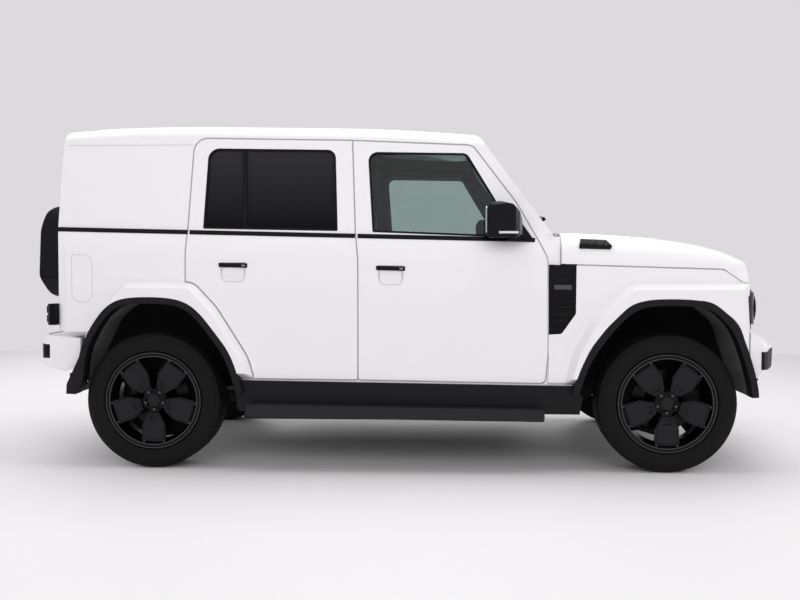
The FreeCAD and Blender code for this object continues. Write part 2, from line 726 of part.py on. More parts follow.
def grille_panel():
    # Dark front panel between the lamps with a field of upright slots
    plan = [(700, -half_width), (nose_x, -half_width, nose_corner_radius), (nose_x + 20, 0),
            (nose_x, half_width, nose_corner_radius), (700, half_width)]
    outer = plan_prism(inset(plan, 6), grille_z[0], grille_z[1])
    inner = plan_prism(inset(plan, 34), grille_z[0] - 1, grille_z[1] + 1)
    panel = outer.cut(inner).cut(block(0, fender_front_x + 4, -1000, 1000, 0, 2000)).cut(grille_slope)
    for side in (1, -1):
        panel = panel.cut(headlamp_bed(side, seat_gap))
    slots = []
    for i in range(-7, 8):
        if i != 0:
            slots.append(rear_prism([(i * 62 - 18, 800, 8), (i * 62 + 18, 800, 8), (i * 62 + 18, 930, 8),
                                     (i * 62 - 18, 930, 8)], 1900, 2100))
    shelf = block(1900, 1950, -800, 800, grille_z[1] - 26, grille_z[1])
    return panel.cut(Part.makeCompound(slots)).fuse(shelf.cut(grille_slope))


headlamp_line = [(510, 778, 55), (860, 778, 70), (860, 950, 70), (510, 950, 55)]


def headlamp_bed(side, grow):
    points = [(p[0] * side, p[1], p[2]) for p in headlamp_line]
    return rear_prism(inset(points, -grow), 1700, 2200)


def headlamp(side):
    plan = [(700, -half_width), (nose_x, -half_width, nose_corner_radius), (nose_x + 20, 0),
            (nose_x, half_width, nose_corner_radius), (700, half_width)]
    shell = plan_prism(inset(plan, -7), 700, 1000).cut(plan_prism(inset(plan, 60), 699, 1001))
    lamp = shell.common(headlamp_bed(side, 0)).common(block(1900.5, 2300, -1000, 1000, 700, 1000))
    return lamp.cut(grille_slope)


valance_line = [(1705, 300, 0), (1880, 330, 30), (1918, 378, 10), (1980, 494, 0), (1926, 494, 0), (1885, 400, 20),
                (1705, 330, 0)]
rear_bumper_line = [(-1645, 545, 0), (-1735, 520, 20), (-1830, 545, 30), (-1882, 600, 25), (-1882, 680, 18),
                    (-1850, 715, 12), (-1645, 700, 0)]


def front_valance():
    plate = side_prism(valance_line, -485, 485)
    wings = side_prism([(1924, 388, 8), (1980, 494, 0), (1926, 494, 0), (1919, 470, 0)], -850, 850)
    posts = [block(1800, 1860, min(s * 405, s * 465), max(s * 405, s * 465), 320, 495) for s in (1, -1)]
    return joined([plate, wings] + posts)


def rear_bumper():
    half = [(-1500, -905), (-1500, 905), (-1850, 905, 60), (-1925, 740, 80), (-1945, 0), (-1925, -740, 80),
            (-1850, -905, 60)]
    profile = side_prism([(p[0] - (62 if p[0] < -1860 else 0), p[1], p[2] if len(p) > 2 else 0)
                          for p in rear_bumper_line], -960, 960)
    body = profile.common(plan_prism(half, 300, 900))
    body = body.cut(side_prism(inset(rear_arch_line, -arch_trim_depth - seat_gap), -1100, 1100)).cut(flap_space)
    body = body.cut(block(-1860, -1500, -800, 800, 500, 690))
    for side in (1, -1):
        body = body.cut(rear_reflector(side, seat_gap))
    return body


def rear_reflector(side, grow):
    lamp = rear_prism([(side * 700, 590 - grow, 0), (side * 960, 590 - grow, 0), (side * 960, 668 + grow, 0),
                       (side * 700, 668 + grow, 0)], -2000, -1846 + grow)
    lamp = lamp.common(plan_prism([(-1500, -905), (-1500, 905), (-1850, 905, 60), (-1925, 740, 80), (-1945, 0),
                                   (-1925, -740, 80), (-1850, -905, 60)], 300, 900))
    return lamp.common(block(-2000, -1500, 700 if side > 0 else -960, 960 if side > 0 else -700, 0, 900))


def tail_lamp():
    lens = side_prism([(-1850, 768, 12), (-1850, 884, 12), (-1792, 884, 0), (-1792, 768, 0)], -872, -794)
    lens = lens.common(plan_prism([(-1500, -874), (-1500, -792), (-1850, -792, 10), (-1850, -874, 45)], 700, 950))
    return lens.cut(rear_mask(-seat_gap))


cladding_line = [(-790, 330, 0), (-790, 480, 0), (-704, 476, 0), (960, 456, 0), (1060, 456, 0), (1034, 306, 0),
                 (-772, 313, 0)]


def sill_cladding():
    panel = side_prism(cladding_line, -918, -(half_width + seat_gap))
    panel = panel.fuse(side_prism([(-738, 316, 0), (1020, 310, 0), (1016, 326, 0), (-738, 329, 0)], -918, -780))
    for arch_line in (front_arch_line, rear_arch_line):
        arch = side_prism(inset(arch_line, -arch_trim_depth - seat_gap), -1100, -700)
        panel = panel.cut(arch.common(block(-2300, 2300, -1100, 0, lip_foot_z - seat_gap, 1500)))
    return panel


step_line = [(-725, 292, 10), (843, 278, 10), (843, 340, 10), (-725, 358, 10)]


def side_step():
    board = side_prism(step_line, -1000, -925)
    brackets = []
    for x in (-560, 60, 680):
        brackets += [block(x - 25, x + 25, -930, -660, 285, 303), block(x - 25, x + 25, -740, -660, 285, 331)]
    return joined([board] + brackets)


# Underbody
rear_floor_z = 500.0
rear_floor_x = -830.0
rail_end_x = rear_face_x - 45
rear_rail_y = 515.0
rear_rail_z = 450.0
tow_eye_radius = 8.5
tow_eye_depth = 60.0
tow_bolt_radius = 6.5
tow_bolt_x = (-1740.0, -1640.0)


def floor_pan():
    inner_y = half_width - side_wall
    low = floor_z - floor_thick
    tub_y = 590.0
    pan = block(rear_floor_x, 963.7, -inner_y, inner_y, low, floor_z)
    for side in (1, -1):
        y = sorted((side * 1000, side * tub_y))
        pan = pan.cut(block(rear_floor_x - 1, -770, y[0], y[1], 0, 800))
    step = block(rear_floor_x, rear_floor_x + 30, -tub_y, tub_y, low, rear_floor_z)
    deck = block(rear_face_x + rear_wall + 1, rear_floor_x + 30, -tub_y, tub_y, rear_floor_z - 30, rear_floor_z)
    parts = [pan, step, deck]
    for side in (1, -1):
        y = sorted((side * 775, side * 640))
        parts.append(block(-770, 1000, y[0], y[1], 331, low))
        y = sorted((side * (rear_rail_y - 45), side * (rear_rail_y + 45)))
        parts.append(block(rail_end_x, rear_floor_x + 30, y[0], y[1], rear_rail_z - 20, rear_rail_z + 20))
        y = sorted((side * 400, side * 470))
        parts.append(block(1000.3, 1890, y[0], y[1], 495, 540))
        parts.append(block(963, 1000.3, y[0], y[1], low, 424.9))
        parts.append(block(1000.3, 1060, y[0], y[1], low, 540))
    whole = joined(parts)
    # Tow bar bolt holes through both rails, and the towing eye's socket in the right one
    for x in tow_bolt_x:
        for y in (rear_rail_y, -rear_rail_y):
            whole = whole.cut(rod(V(x, y, rear_rail_z - 30), V(x, y, rear_rail_z + 30), tow_bolt_radius))
    socket = rod(V(rail_end_x - 5, -rear_rail_y, rear_rail_z), V(rail_end_x + tow_eye_depth, -rear_rail_y, rear_rail_z),
                 tow_eye_radius)
    return whole.cut(socket)


def battery_pack():
    return plan_prism([(-820, -630, 40), (880, -630, 40), (880, 630, 40), (-820, 630, 40)], 226, 384.7)


# Wheels
def revolved(points, x, z):
    # Ring section as (distance outboard, radius, corner), turned about the wheel's axle on the right side
    face = Part.Face(outline(points, lambda p: V(x, -p.x, z + p.y)))
    return face.revolve(V(x, 0, z), V(0, 1, 0), 360)


rim_half = tyre_width / 2 - 10
rim_lip = 10.0


def tyre(x):
    half = tyre_width / 2
    bead = rim_half - rim_lip - seat_gap
    y = wheel_y
    flank = [(bead, rim_bead_radius + seat_gap, 0), (bead, rim_flange_radius + 0.5, 0),
             (half - 6, rim_flange_radius + 12, 0), (half, 312, 0), (half - 7, tyre_radius - 12, 0),
             (half - 30, tyre_radius, 0)]
    points = [(y + w, r, c) for w, r, c in flank] + [(y - w, r, c) for w, r, c in reversed(flank)]
    body = revolved(points, x, tyre_radius)
    inside = [(half - 34, rim_bead_radius - 20, 0), (half - 22, 300, 0), (half - 36, tyre_radius - 16, 0)]
    hollow = [(y + w, r, c) for w, r, c in inside] + [(y - w, r, c) for w, r, c in reversed(inside)]
    return body.cut(revolved(hollow, x, tyre_radius))


spoke_face_y = wheel_face_y - 14
hub_y = wheel_face_y - 62


def spoke_pad(x, turn):
    # Wide square pad that tapers towards the hub, standing on a narrower spoke
    pad = [(-30, 70, 0), (30, 70, 0), (61, 130, 0), (64, 218, 7), (-64, 218, 7), (-61, 130, 0)]
    plate = side_prism([(x + u, tyre_radius + v, r) for u, v, r in pad], -spoke_face_y, -spoke_face_y + 22)
    rib = side_prism([(x - 24, tyre_radius + 40, 0), (x + 24, tyre_radius + 40, 0), (x + 40, tyre_radius + 233, 0),
                      (x - 40, tyre_radius + 233, 0)], -spoke_face_y + 20, -spoke_face_y + 52)
    window = side_prism([(x - 17, tyre_radius + 84, 3), (x + 17, tyre_radius + 84, 3), (x + 25, tyre_radius + 112, 3),
                         (x - 25, tyre_radius + 112, 3)], -spoke_face_y - 1, -spoke_face_y + 9)
    whole = plate.fuse(rib).cut(window)
    return whole.rotate(V(x, 0, tyre_radius), V(0, 1, 0), turn)


def wheel(x):
    y = wheel_y
    lip_in = rim_half - rim_lip
    barrel = revolved([(y - rim_half, rim_flange_radius, 0), (y - rim_half, 233, 0), (y + 20, 216, 0),
                       (y + rim_half, 233, 0), (y + rim_half, rim_flange_radius, 0),
                       (y + lip_in, rim_flange_radius, 0), (y + lip_in, rim_bead_radius, 0),
                       (y + 30, rim_bead_radius - 14, 0), (y - lip_in, rim_bead_radius, 0),
                       (y - lip_in, rim_flange_radius, 0)], x, tyre_radius)
    hub = revolved([(hub_y - 40, spindle_radius + running_fit, 0), (hub_y + 30, spindle_radius + running_fit, 0),
                    (hub_y + 30, 0, 0), (spoke_face_y - 12, 0, 0), (spoke_face_y - 12, 34, 0), (spoke_face_y - 26, 62, 0),
                    (hub_y + 4, 74, 0), (hub_y - 40, 66, 0)], x, tyre_radius)
    disc = revolved([(hub_y - 96, 80, 0), (hub_y - 96, 165, 0), (hub_y - 72, 165, 0), (hub_y - 72, 100, 0),
                     (hub_y - 38, 66, 0), (hub_y - 38, 52, 0), (hub_y - 40, 52, 0), (hub_y - 74, 80, 0)], x, tyre_radius)
    pads = [spoke_pad(x, 180 + 72.0 * i) for i in range(spoke_count)]
    return joined([barrel, hub, disc] + pads)


def spindle(x):
    # Hub spindle with its carrier, inboard of the wheel
    y_end = hub_y + 20
    stub = rod(V(x, -y_end, tyre_radius), V(x, -(kingpin_y - 40), tyre_radius), spindle_radius)
    collar = rod(V(x, -(hub_y - 102), tyre_radius), V(x, -(kingpin_y - 40), tyre_radius), 62)
    return stub.fuse(collar)


def front_knuckle():
    x = front_axle_x
    body = spindle(x)
    upright = side_prism([(x - 38, 205, 15), (x + 38, 205, 15), (x + 52, tyre_radius, 30), (x + 30, 545, 12),
                          (x - 30, 545, 12), (x - 52, tyre_radius, 30)], -(kingpin_y + 6), -(kingpin_y - 40))
    steer = block(x - 150, x - 30, -(kingpin_y + 0), -(kingpin_y - 32), tyre_radius - 60, tyre_radius - 36)
    caliper = side_prism([(x + 112, tyre_radius - 70, 12), (x + 190, tyre_radius - 60, 20),
                          (x + 190, tyre_radius + 60, 20), (x + 112, tyre_radius + 70, 12)],
                         -(hub_y - 64), -(kingpin_y - 10))
    slot = revolved([(hub_y - 102, 60, 0), (hub_y - 102, 172, 0), (hub_y - 66, 172, 0), (hub_y - 66, 60, 0)], x, tyre_radius)
    bridge = block(x + 40, x + 130, -(kingpin_y + 0), -(kingpin_y - 36), tyre_radius - 30, tyre_radius + 30)
    whole = joined([body, upright, steer, caliper.cut(slot), bridge])
    for z_low, z_high in ((200, 245), (505, 550)):
        socket = Part.makeCylinder(11 + running_fit, z_high - z_low + 2, V(x, -kingpin_y + 17, z_low - 1), V(0, 0, 1))
        whole = whole.cut(socket)
    return whole


def front_axle():
    # Subframe, lower and upper arms with their ball pins, dampers and the drive unit between them
    x = front_axle_x
    parts = [block(x - 210, x + 210, -400, 400, 300, 350), block(x - 190, x - 110, -470, 470, 350, 440),
             block(x + 110, x + 190, -470, 470, 350, 440)]
    for side in (1, -1):
        y_pin = side * (kingpin_y - 17)
        lower = plan_prism([(x - 170, side * 380), (x + 170, side * 380), (x + 32, y_pin + side * 14, 14),
                            (x - 32, y_pin + side * 14, 14)], 172, 194)
        hanger = [block(x - 190 if s < 0 else x + 120, x - 120 if s < 0 else x + 190, min(side * 330, side * 400),
                        max(side * 330, side * 400), 172, 300) for s in (-1, 1)]
        pin_low = Part.makeCylinder(11, 46, V(x, y_pin, 190), V(0, 0, 1))
        upper = plan_prism([(x - 130, side * 440), (x + 130, side * 440), (x + 26, y_pin + side * 14, 12),
                            (x - 26, y_pin + side * 14, 12)], 556, 574)
        post = block(x - 130, x + 130, min(side * 440, side * 500), max(side * 440, side * 500), 540, 590)
        pin_high = Part.makeCylinder(11, 46, V(x, y_pin, 514), V(0, 0, 1))
        parts += [lower, pin_low, upper, post, pin_high] + hanger
    return joined(parts)


def rear_axle():
    x = rear_axle_x
    y_in = hub_y - 102
    parts = [rod(V(x, -(y_in - 2), tyre_radius), V(x, y_in - 2, tyre_radius), 42),
             rod(V(x, -(hub_y + 20), tyre_radius), V(x, hub_y + 20, tyre_radius), spindle_radius)]
    drum = side_prism([(x - 150, 250, 50), (x + 190, 250, 30), (x + 190, 340, 20), (x + 160, 450, 30), (x - 120, 440, 50)],
                      -210, 210)
    parts.append(drum)
    for side in (1, -1):
        y0, y1 = sorted((side * 645, side * 688))
        arm = side_prism([(x - 60, tyre_radius - 40, 20), (-770 - seat_gap, 332, 0), (-770 - seat_gap, 384, 0),
                          (x + 60, tyre_radius + 50, 20), (x - 60, tyre_radius + 50, 20)], y0, y1)
        parts.append(arm)
    return joined(parts)


# Mirrors and cowl
def mirror():
    # Housing on a short arm from a sail-shaped foot at the front corner of the window
    shell = side_prism([(538, 1260, 15), (540, 1384, 25), (558, 1414, 20), (606, 1425, 25), (674, 1408, 30),
                        (710, 1372, 25), (735, 1312, 20), (735, 1250, 10), (690, 1236, 20), (556, 1236, 15)], -1062, -905)
    shell = shell.common(rear_prism([(-1062, 1232, 30), (-905, 1232, 0), (-905, 1420, 40), (-1062, 1430, 50)], 400, 900))
    shell = shell.common(plan_prism([(534, -905, 20), (534, -1062, 40), (700, -1040, 60), (742, -905, 40)], 1200, 1500))
    arm = side_prism([(655, 1218, 6), (766, 1238, 6), (766, 1254, 0), (655, 1254, 0)], -935, -868)
    sail = side_prism([(672, 1238, 6), (790, 1234, 6), (716, 1340, 10)], -1000, -800)
    sail = sail.common(side_body(-4.0))
    return joined([shell, arm, sail]).cut(side_body(-seat_gap))


def cowl():
    # Air intake panel at the windscreen's foot, with two wiper arms
    tray = plan_prism([(840, -725), (948, -725), (948, 725), (840, 725)], cowl_z, cowl_z + 8)
    return tray.cut(screen_mask(-seat_gap))


# Cabin
def seat(x, y, width):
    base = side_prism([(x - 240, 640, 30), (x + 260, 670, 40), (x + 260, 790, 50), (x - 200, 760, 30)],
                      y - width / 2, y + width / 2)
    back = side_prism([(x - 300, 700, 40), (x - 170, 690, 40), (x - 300, 1260, 60), (x - 410, 1260, 50)],
                      y - width / 2 + 10, y + width / 2 - 10)
    head = side_prism([(x - 410, 1300, 30), (x - 310, 1300, 30), (x - 330, 1470, 45), (x - 415, 1465, 40)],
                      y - 130, y + 130)
    posts = [rod(V(x - 362, y + s * 55, 1250), V(x - 362, y + s * 55, 1310), 8) for s in (1, -1)]
    plinth = side_prism([(x - 190, floor_z, 0), (x + 190, floor_z, 0), (x + 200, 700, 0), (x - 190, 700, 0)],
                        y - width / 2 + 45, y + width / 2 - 45)
    return joined([base, back, head, plinth] + posts)


def rear_bench():
    x = -600.0
    half = 590.0
    base = side_prism([(x - 240, 640, 30), (x + 250, 670, 40), (x + 250, 780, 50), (x - 200, 760, 30)], -half, half)
    back = side_prism([(x - 300, 700, 40), (x - 170, 690, 40), (x - 300, 1230, 45), (x - 400, 1230, 35)], -half, half)
    plinth = side_prism([(x - 100, floor_z, 0), (x + 200, floor_z, 0), (x + 200, 700, 0), (x - 100, 700, 0)],
                        -half + 40, half - 40)
    heads = [side_prism([(x - 400, 1238, 30), (x - 305, 1238, 30), (x - 320, 1400, 45), (x - 405, 1395, 40)],
                        y - 120, y + 120) for y in (-360, 360)]
    posts = [rod(V(x - 352, y + s * 50, 1200), V(x - 352, y + s * 50, 1260), 8) for y in (-360, 360) for s in (1, -1)]
    return joined([base, back, plinth] + heads + posts)


wheel_centre = V(430.0, 370.0, 1075.0)
column_tilt = 22.0
shaft_radius = 12.0


def column_axis():
    return V(math.cos(math.radians(column_tilt)), 0, -math.sin(math.radians(column_tilt)))


def dashboard():
    body = side_prism([(520, 960, 40), (560, 1130, 60), (760, 1190, 60), (880, 1190, 20), (880, 820, 0), (640, 820, 40)],
                      -752, 752)
    body = body.fuse(block(878, 963.7, -300, 300, 900, 1100))
    axis = column_axis()
    body = body.cut(Part.makeCylinder(34, 90, wheel_centre + axis * 70, axis))
    return body.cut(Part.makeCylinder(shaft_radius + running_fit, 260, wheel_centre + axis * 80, axis))


def steering_wheel():
    axis = column_axis()
    ring = Part.makeTorus(178, 16, wheel_centre, axis)
    hub = Part.makeCylinder(62, 40, wheel_centre - axis * 16, axis)
    bars = []
    for turn in (0, 120, 240):
        bar = Part.makeBox(20, 40, 182, V(-6, -20, 0))
        bar.rotate(V(0, 0, 0), V(1, 0, 0), turn + 180)
        bar.rotate(V(0, 0, 0), V(0, 1, 0), column_tilt)
        bar.translate(wheel_centre)
        bars.append(bar)
    column = Part.makeCylinder(26, 110, wheel_centre + axis * 10, axis)
    shaft = Part.makeCylinder(shaft_radius, 200, wheel_centre + axis * 20, axis)
    return joined([ring, hub, column, shaft] + bars)


# Building and saving the pieces
rear_door = door_solid(rear_door_line, rear_window_line, rear_hinge_x, False)
front_door = door_solid(front_door_line, front_window_line, front_hinge_x, True)
for side, place in (("right", lambda s: s), ("left", other_side)):
    save("door_front_" + side, place(front_door))
    save("door_rear_" + side, place(rear_door))
    save("window_front_" + side, place(pane(front_window_line)))
    save("window_rear_" + side, place(pane(rear_window_line)))
shell_solid = body_shell()
roof_split = block(-2300, 1200, -1100, 1100, upper_split_z, 2100)
save("body_shell", shell_solid.cut(block(-2300, 1200, -1100, 1100, upper_split_z - 0.0, 2100)))
save("roof", shell_solid.common(roof_split))
save("tailgate", tailgate())
save("tailgate_window", gate_pane())
save("tailgate_case", storage_case())
save("windscreen", windscreen())
save("bonnet", bonnet())
save("front_fenders", both_sides(fender()))
save("fender_vents", both_sides(fender_vent()))
save("front_flares", both_sides(front_flare))
save("rear_flares", both_sides(rear_flare))
save("arch_lips", Part.makeCompound([both_sides(lip(front_arch_line)), both_sides(lip(rear_arch_line))]))
save("arch_liners", Part.makeCompound([both_sides(liner(front_arch_line, 486, 8, front_axle_x)),
                                       both_sides(liner(rear_arch_line, 600, 8, rear_axle_x))]))
save("front_bumper", front_bumper())
save("corner_lamps", Part.makeCompound([corner_lamp_block(1, 0), corner_lamp_block(-1, 0)]))
save("grille_panel", grille_panel())
save("headlamps", Part.makeCompound([headlamp(1), headlamp(-1)]))
save("front_valance", front_valance())
save("rear_bumper", rear_bumper())
save("rear_lamps", Part.makeCompound([both_sides(tail_lamp()), rear_reflector(1, 0), rear_reflector(-1, 0)]))
save("sill_cladding", both_sides(sill_cladding()))
save("side_steps", both_sides(side_step()))
save("floor_pan", floor_pan())
save("battery_pack", battery_pack())
wheels = (("front", front_axle_x), ("rear", rear_axle_x))
for name, x in wheels:
    rim = wheel(x)
    rubber = tyre(x)
    for side, place in (("right", lambda s: s), ("left", other_side)):
        save("wheel_" + name + "_" + side, place(rim))
        save("tyre_" + name + "_" + side, place(rubber))
knuckle = front_knuckle()
save("knuckle_right", knuckle)
save("knuckle_left", other_side(knuckle))
save("front_axle", front_axle())
save("rear_axle", rear_axle())
mirror_right = mirror()
save("mirror_right", mirror_right)
save("mirror_left", other_side(mirror_right))
save("cowl_panel", cowl())
save("front_seats", both_sides(seat(190.0, -370.0, 500.0)))
save("rear_bench", rear_bench())
save("dashboard", dashboard())
save("steering_wheel", steering_wheel())
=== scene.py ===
import math

import bpy
from mathutils import Matrix, Vector


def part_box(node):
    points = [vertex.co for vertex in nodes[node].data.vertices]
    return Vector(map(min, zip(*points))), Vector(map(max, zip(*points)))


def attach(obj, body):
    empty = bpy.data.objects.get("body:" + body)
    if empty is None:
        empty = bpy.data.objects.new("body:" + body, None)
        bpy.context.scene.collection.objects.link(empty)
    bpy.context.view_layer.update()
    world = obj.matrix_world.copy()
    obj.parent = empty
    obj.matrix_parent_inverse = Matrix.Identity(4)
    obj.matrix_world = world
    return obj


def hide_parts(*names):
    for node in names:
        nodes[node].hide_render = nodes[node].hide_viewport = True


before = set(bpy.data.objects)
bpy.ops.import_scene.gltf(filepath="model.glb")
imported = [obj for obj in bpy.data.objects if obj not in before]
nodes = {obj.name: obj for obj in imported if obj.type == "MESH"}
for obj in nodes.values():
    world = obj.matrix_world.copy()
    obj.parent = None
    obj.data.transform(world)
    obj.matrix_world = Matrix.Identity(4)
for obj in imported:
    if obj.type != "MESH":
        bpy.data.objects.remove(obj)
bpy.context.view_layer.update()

print("frame loaded:", len(nodes), "nodes")


# Small helpers
def mm(value):
    return value / 1000.0


def hexColour(text):
    # sRGB hex to the linear colour that a shader socket takes
    parts = [int(text[i:i + 2], 16) / 255.0 for i in (1, 3, 5)]
    linear = [c / 12.92 if c <= 0.04045 else ((c + 0.055) / 1.055) ** 2.4 for c in parts]
    return (*linear, 1.0)


def newMaterial(name, **settings):
    material = bpy.data.materials.new(name)
    material.use_nodes = True
    shader = material.node_tree.nodes["Principled BSDF"]
    for socket, value in settings.items():
        shader.inputs[socket.replace("_", " ")].default_value = value
    return material, material.node_tree, shader


def addNode(tree, kind, inputs=None, **settings):
    # Adds a node, sets its own settings, then its sockets: a node's output is linked, a value is set
    node = tree.nodes.new(kind)
    for name, value in settings.items():
        setattr(node, name, value)
    for socket, value in (inputs or {}).items():
        if isinstance(value, bpy.types.NodeSocket):
            tree.links.new(value, node.inputs[socket])
        else:
            node.inputs[socket].default_value = value
    return node


def grainBump(tree, shader, sizeMm, depthMm, strength, detail=2.0):
    # Fine surface relief from noise of a given grain size
    place = addNode(tree, "ShaderNodeTexCoord").outputs["Object"]
    noise = addNode(tree, "ShaderNodeTexNoise",
                    {"Vector": place, "Scale": 1000.0 / sizeMm, "Detail": detail, "Roughness": 0.6})
    bump = addNode(tree, "ShaderNodeBump",
                   {"Height": noise.outputs["Fac"], "Strength": strength, "Distance": mm(depthMm)})
    tree.links.new(bump.outputs["Normal"], shader.inputs["Normal"])
    return noise.outputs["Fac"]


def blendColour(tree, shader, factor, first, second):
    mix = addNode(tree, "ShaderNodeMix", {"Factor": factor, 6: hexColour(first), 7: hexColour(second)},
                  data_type="RGBA")
    tree.links.new(mix.outputs[2], shader.inputs["Base Color"])
    return mix.outputs[2]


def workOut(tree, steps):
    # Arithmetic on the object's coordinates: each step has a name, an operation and names or numbers
    place = addNode(tree, "ShaderNodeTexCoord").outputs["Object"]
    parts = addNode(tree, "ShaderNodeSeparateXYZ", {"Vector": place})
    made = {"x": parts.outputs["X"], "y": parts.outputs["Y"], "z": parts.outputs["Z"]}
    for name, operation, *values in steps:
        sockets = {i: made.get(value, value) for i, value in enumerate(values)}
        made[name] = addNode(tree, "ShaderNodeMath", sockets, operation=operation).outputs[0]
    return made


# Materials
bodyForm = {
    "halfWidth": 0.895, "shoulderZ": 1.175, "shoulderRadius": 0.400, "beltZ": 1.250, "beltSlope": -0.024,
    "beltStep": 0.027, "lean": 0.124, "rearX": -1.797, "screenX": 0.880, "screenZ": 1.262,
    "screenRise": -0.7404, "roofZ": 1.853, "roofMiddle": -0.9, "roofFall": 0.0296,
}
# Paint ends this far inside each face of the cab
trimDepth = {"above": 0.020, "below": 0.105, "roof": 0.045, "corner": 0.090, "upperFrom": -0.012}


def insideCab(tree):
    # 1 on the walls' inner faces and window reveals, 0 on the painted outside, from the depth below each face
    b, t = bodyForm, trimDepth
    return workOut(tree, [
        ("outboard", "ABSOLUTE", "y"),
        ("beltFall", "MULTIPLY", "x", b["beltSlope"]),
        ("overBelt", "SUBTRACT", "z", b["beltZ"]),
        ("aboveBelt", "SUBTRACT", "overBelt", "beltFall"),
        ("upright", "SUBTRACT", b["halfWidth"] - b["beltStep"], "outboard"),
        ("glasshouse", "MAXIMUM", "aboveBelt", 0.0),
        ("leanIn", "MULTIPLY", "glasshouse", b["lean"]),
        ("side", "SUBTRACT", "upright", "leanIn"),
        ("rear", "SUBTRACT", "x", b["rearX"]),
        ("along", "SUBTRACT", "x", b["roofMiddle"]),
        ("alongSquare", "MULTIPLY", "along", "along"),
        ("roofFall", "MULTIPLY", "alongSquare", b["roofFall"]),
        ("underRoof", "SUBTRACT", b["roofZ"], "z"),
        ("roof", "SUBTRACT", "underRoof", "roofFall"),
        ("overScreen", "SUBTRACT", "z", b["screenZ"]),
        ("screenLine", "MULTIPLY", "overScreen", b["screenRise"]),
        ("screenAlong", "SUBTRACT", "x", b["screenX"]),
        ("screen", "SUBTRACT", "screenLine", "screenAlong"),
        ("corner", "ADD", "side", "rear"),
        ("upper", "GREATER_THAN", "aboveBelt", t["upperFrom"]),
        ("thinner", "MULTIPLY", "upper", t["below"] - t["above"]),
        ("limit", "SUBTRACT", t["below"], "thinner"),
        ("pastSide", "GREATER_THAN", "side", "limit"),
        ("pastRear", "GREATER_THAN", "rear", t["above"]),
        ("pastRoof", "GREATER_THAN", "roof", t["roof"]),
        ("pastScreen", "GREATER_THAN", "screen", t["above"]),
        ("pastCorner", "GREATER_THAN", "corner", t["corner"]),
        ("mask", "MULTIPLY", "pastSide", "pastRear"),
        ("mask", "MULTIPLY", "mask", "pastRoof"),
        ("mask", "MULTIPLY", "mask", "pastScreen"),
        ("mask", "MULTIPLY", "mask", "pastCorner"),
    ])["mask"]


def whiteGlossPaint(name, trimmed):
    # Solid white two-layer car paint: bright, with a hard clear coat and a trace of orange peel.
    # The cab's panels change to dark moulded trim on their inner faces.
    material, tree, shader = newMaterial(name, Roughness=0.42, IOR=1.5, Coat_Weight=0.8, Coat_Roughness=0.04)
    white = blendColour(tree, shader, grainBump(tree, shader, 6.0, 0.02, 0.15), "#f0eff1", "#f3f2f4")
    if trimmed:
        inside = insideCab(tree)
        lined = addNode(tree, "ShaderNodeMix", {"Factor": inside, 6: white, 7: hexColour("#1b2020")},
                        data_type="RGBA")
        tree.links.new(lined.outputs[2], shader.inputs["Base Color"])
        for socket, outside, within in (("Roughness", 0.42, 0.9), ("Coat Weight", 0.8, 0.0)):
            step = addNode(tree, "ShaderNodeMapRange", {"Value": inside, "To Min": outside, "To Max": within})
            tree.links.new(step.outputs["Result"], shader.inputs[socket])
    return material


def grainedFinish(name, grain, colours, **settings):
    # Two near shades mixed by a fine relief; grain: size and depth in mm, strength, detail
    material, tree, shader = newMaterial(name, **settings)
    blendColour(tree, shader, grainBump(tree, shader, *grain), *colours)
    return material


def shadedFinish(name, pattern, scale, colours, **settings):
    # Smooth surface, with two near shades mixed by soft noise, ribs across the height or beads
    kind, output, way = {"noise": ("ShaderNodeTexNoise", "Fac", {}),
                         "ribs": ("ShaderNodeTexWave", "Fac", {"bands_direction": "Z"}),
                         "beads": ("ShaderNodeTexVoronoi", "Distance", {})}[pattern]
    material, tree, shader = newMaterial(name, **settings)
    place = addNode(tree, "ShaderNodeTexCoord").outputs["Object"]
    texture = addNode(tree, kind, {"Vector": place, "Scale": scale}, **way)
    blendColour(tree, shader, texture.outputs[output], *colours)
    return material


def privacyGlass():
    # Body-tinted privacy glass: nearly black, with a clean hard gloss; its colour is painted paler towards the
    # roof as a painted reflection of the bright studio
    material, tree, shader = newMaterial("darkPrivacyGlass", Roughness=0.03, IOR=1.5,
                                         Transmission_Weight=0.05, Specular_IOR_Level=0.06)
    height = workOut(tree, [])["z"]
    # Painted reflection: the base colour grows paler from 1.30 m up to 1.70 m height
    paintedReflection = addNode(tree, "ShaderNodeMapRange", {"Value": height, "From Min": 1.30, "From Max": 1.70})
    blendColour(tree, shader, paintedReflection.outputs["Result"], "#0e0d0f", "#313032")
    return material


def seatCloth():
    # Flat-woven polyester upholstery, thread pitch 1.5 mm drawn at 3 mm
    material, tree, shader = newMaterial("wovenSeatCloth", Roughness=0.85, IOR=1.4, Sheen_Weight=0.35)
    place = addNode(tree, "ShaderNodeTexCoord").outputs["Object"]
    warp, weft, rise = (addNode(tree, "ShaderNodeTexWave", {"Vector": place, "Scale": 52.0},
                                bands_direction=axis).outputs["Fac"] for axis in "XYZ")
    mixed = addNode(tree, "ShaderNodeMath", {0: warp, 1: weft}, operation="MULTIPLY").outputs[0]
    total = addNode(tree, "ShaderNodeMath", {0: mixed, 1: rise}, operation="ADD").outputs[0]
    bump = addNode(tree, "ShaderNodeBump", {"Height": total, "Strength": 0.5, "Distance": mm(0.8)})
    tree.links.new(bump.outputs["Normal"], shader.inputs["Normal"])
    blendColour(tree, shader, total, "#202124", "#36373b")
    return material


wheelLook = {
    "padFaceY": 0.905,
    "padReach": 0.2225,
    "midX": 0.1235,          # halfway between the axles
    "halfBase": 1.3675,
    "centreZ": 0.366,
}


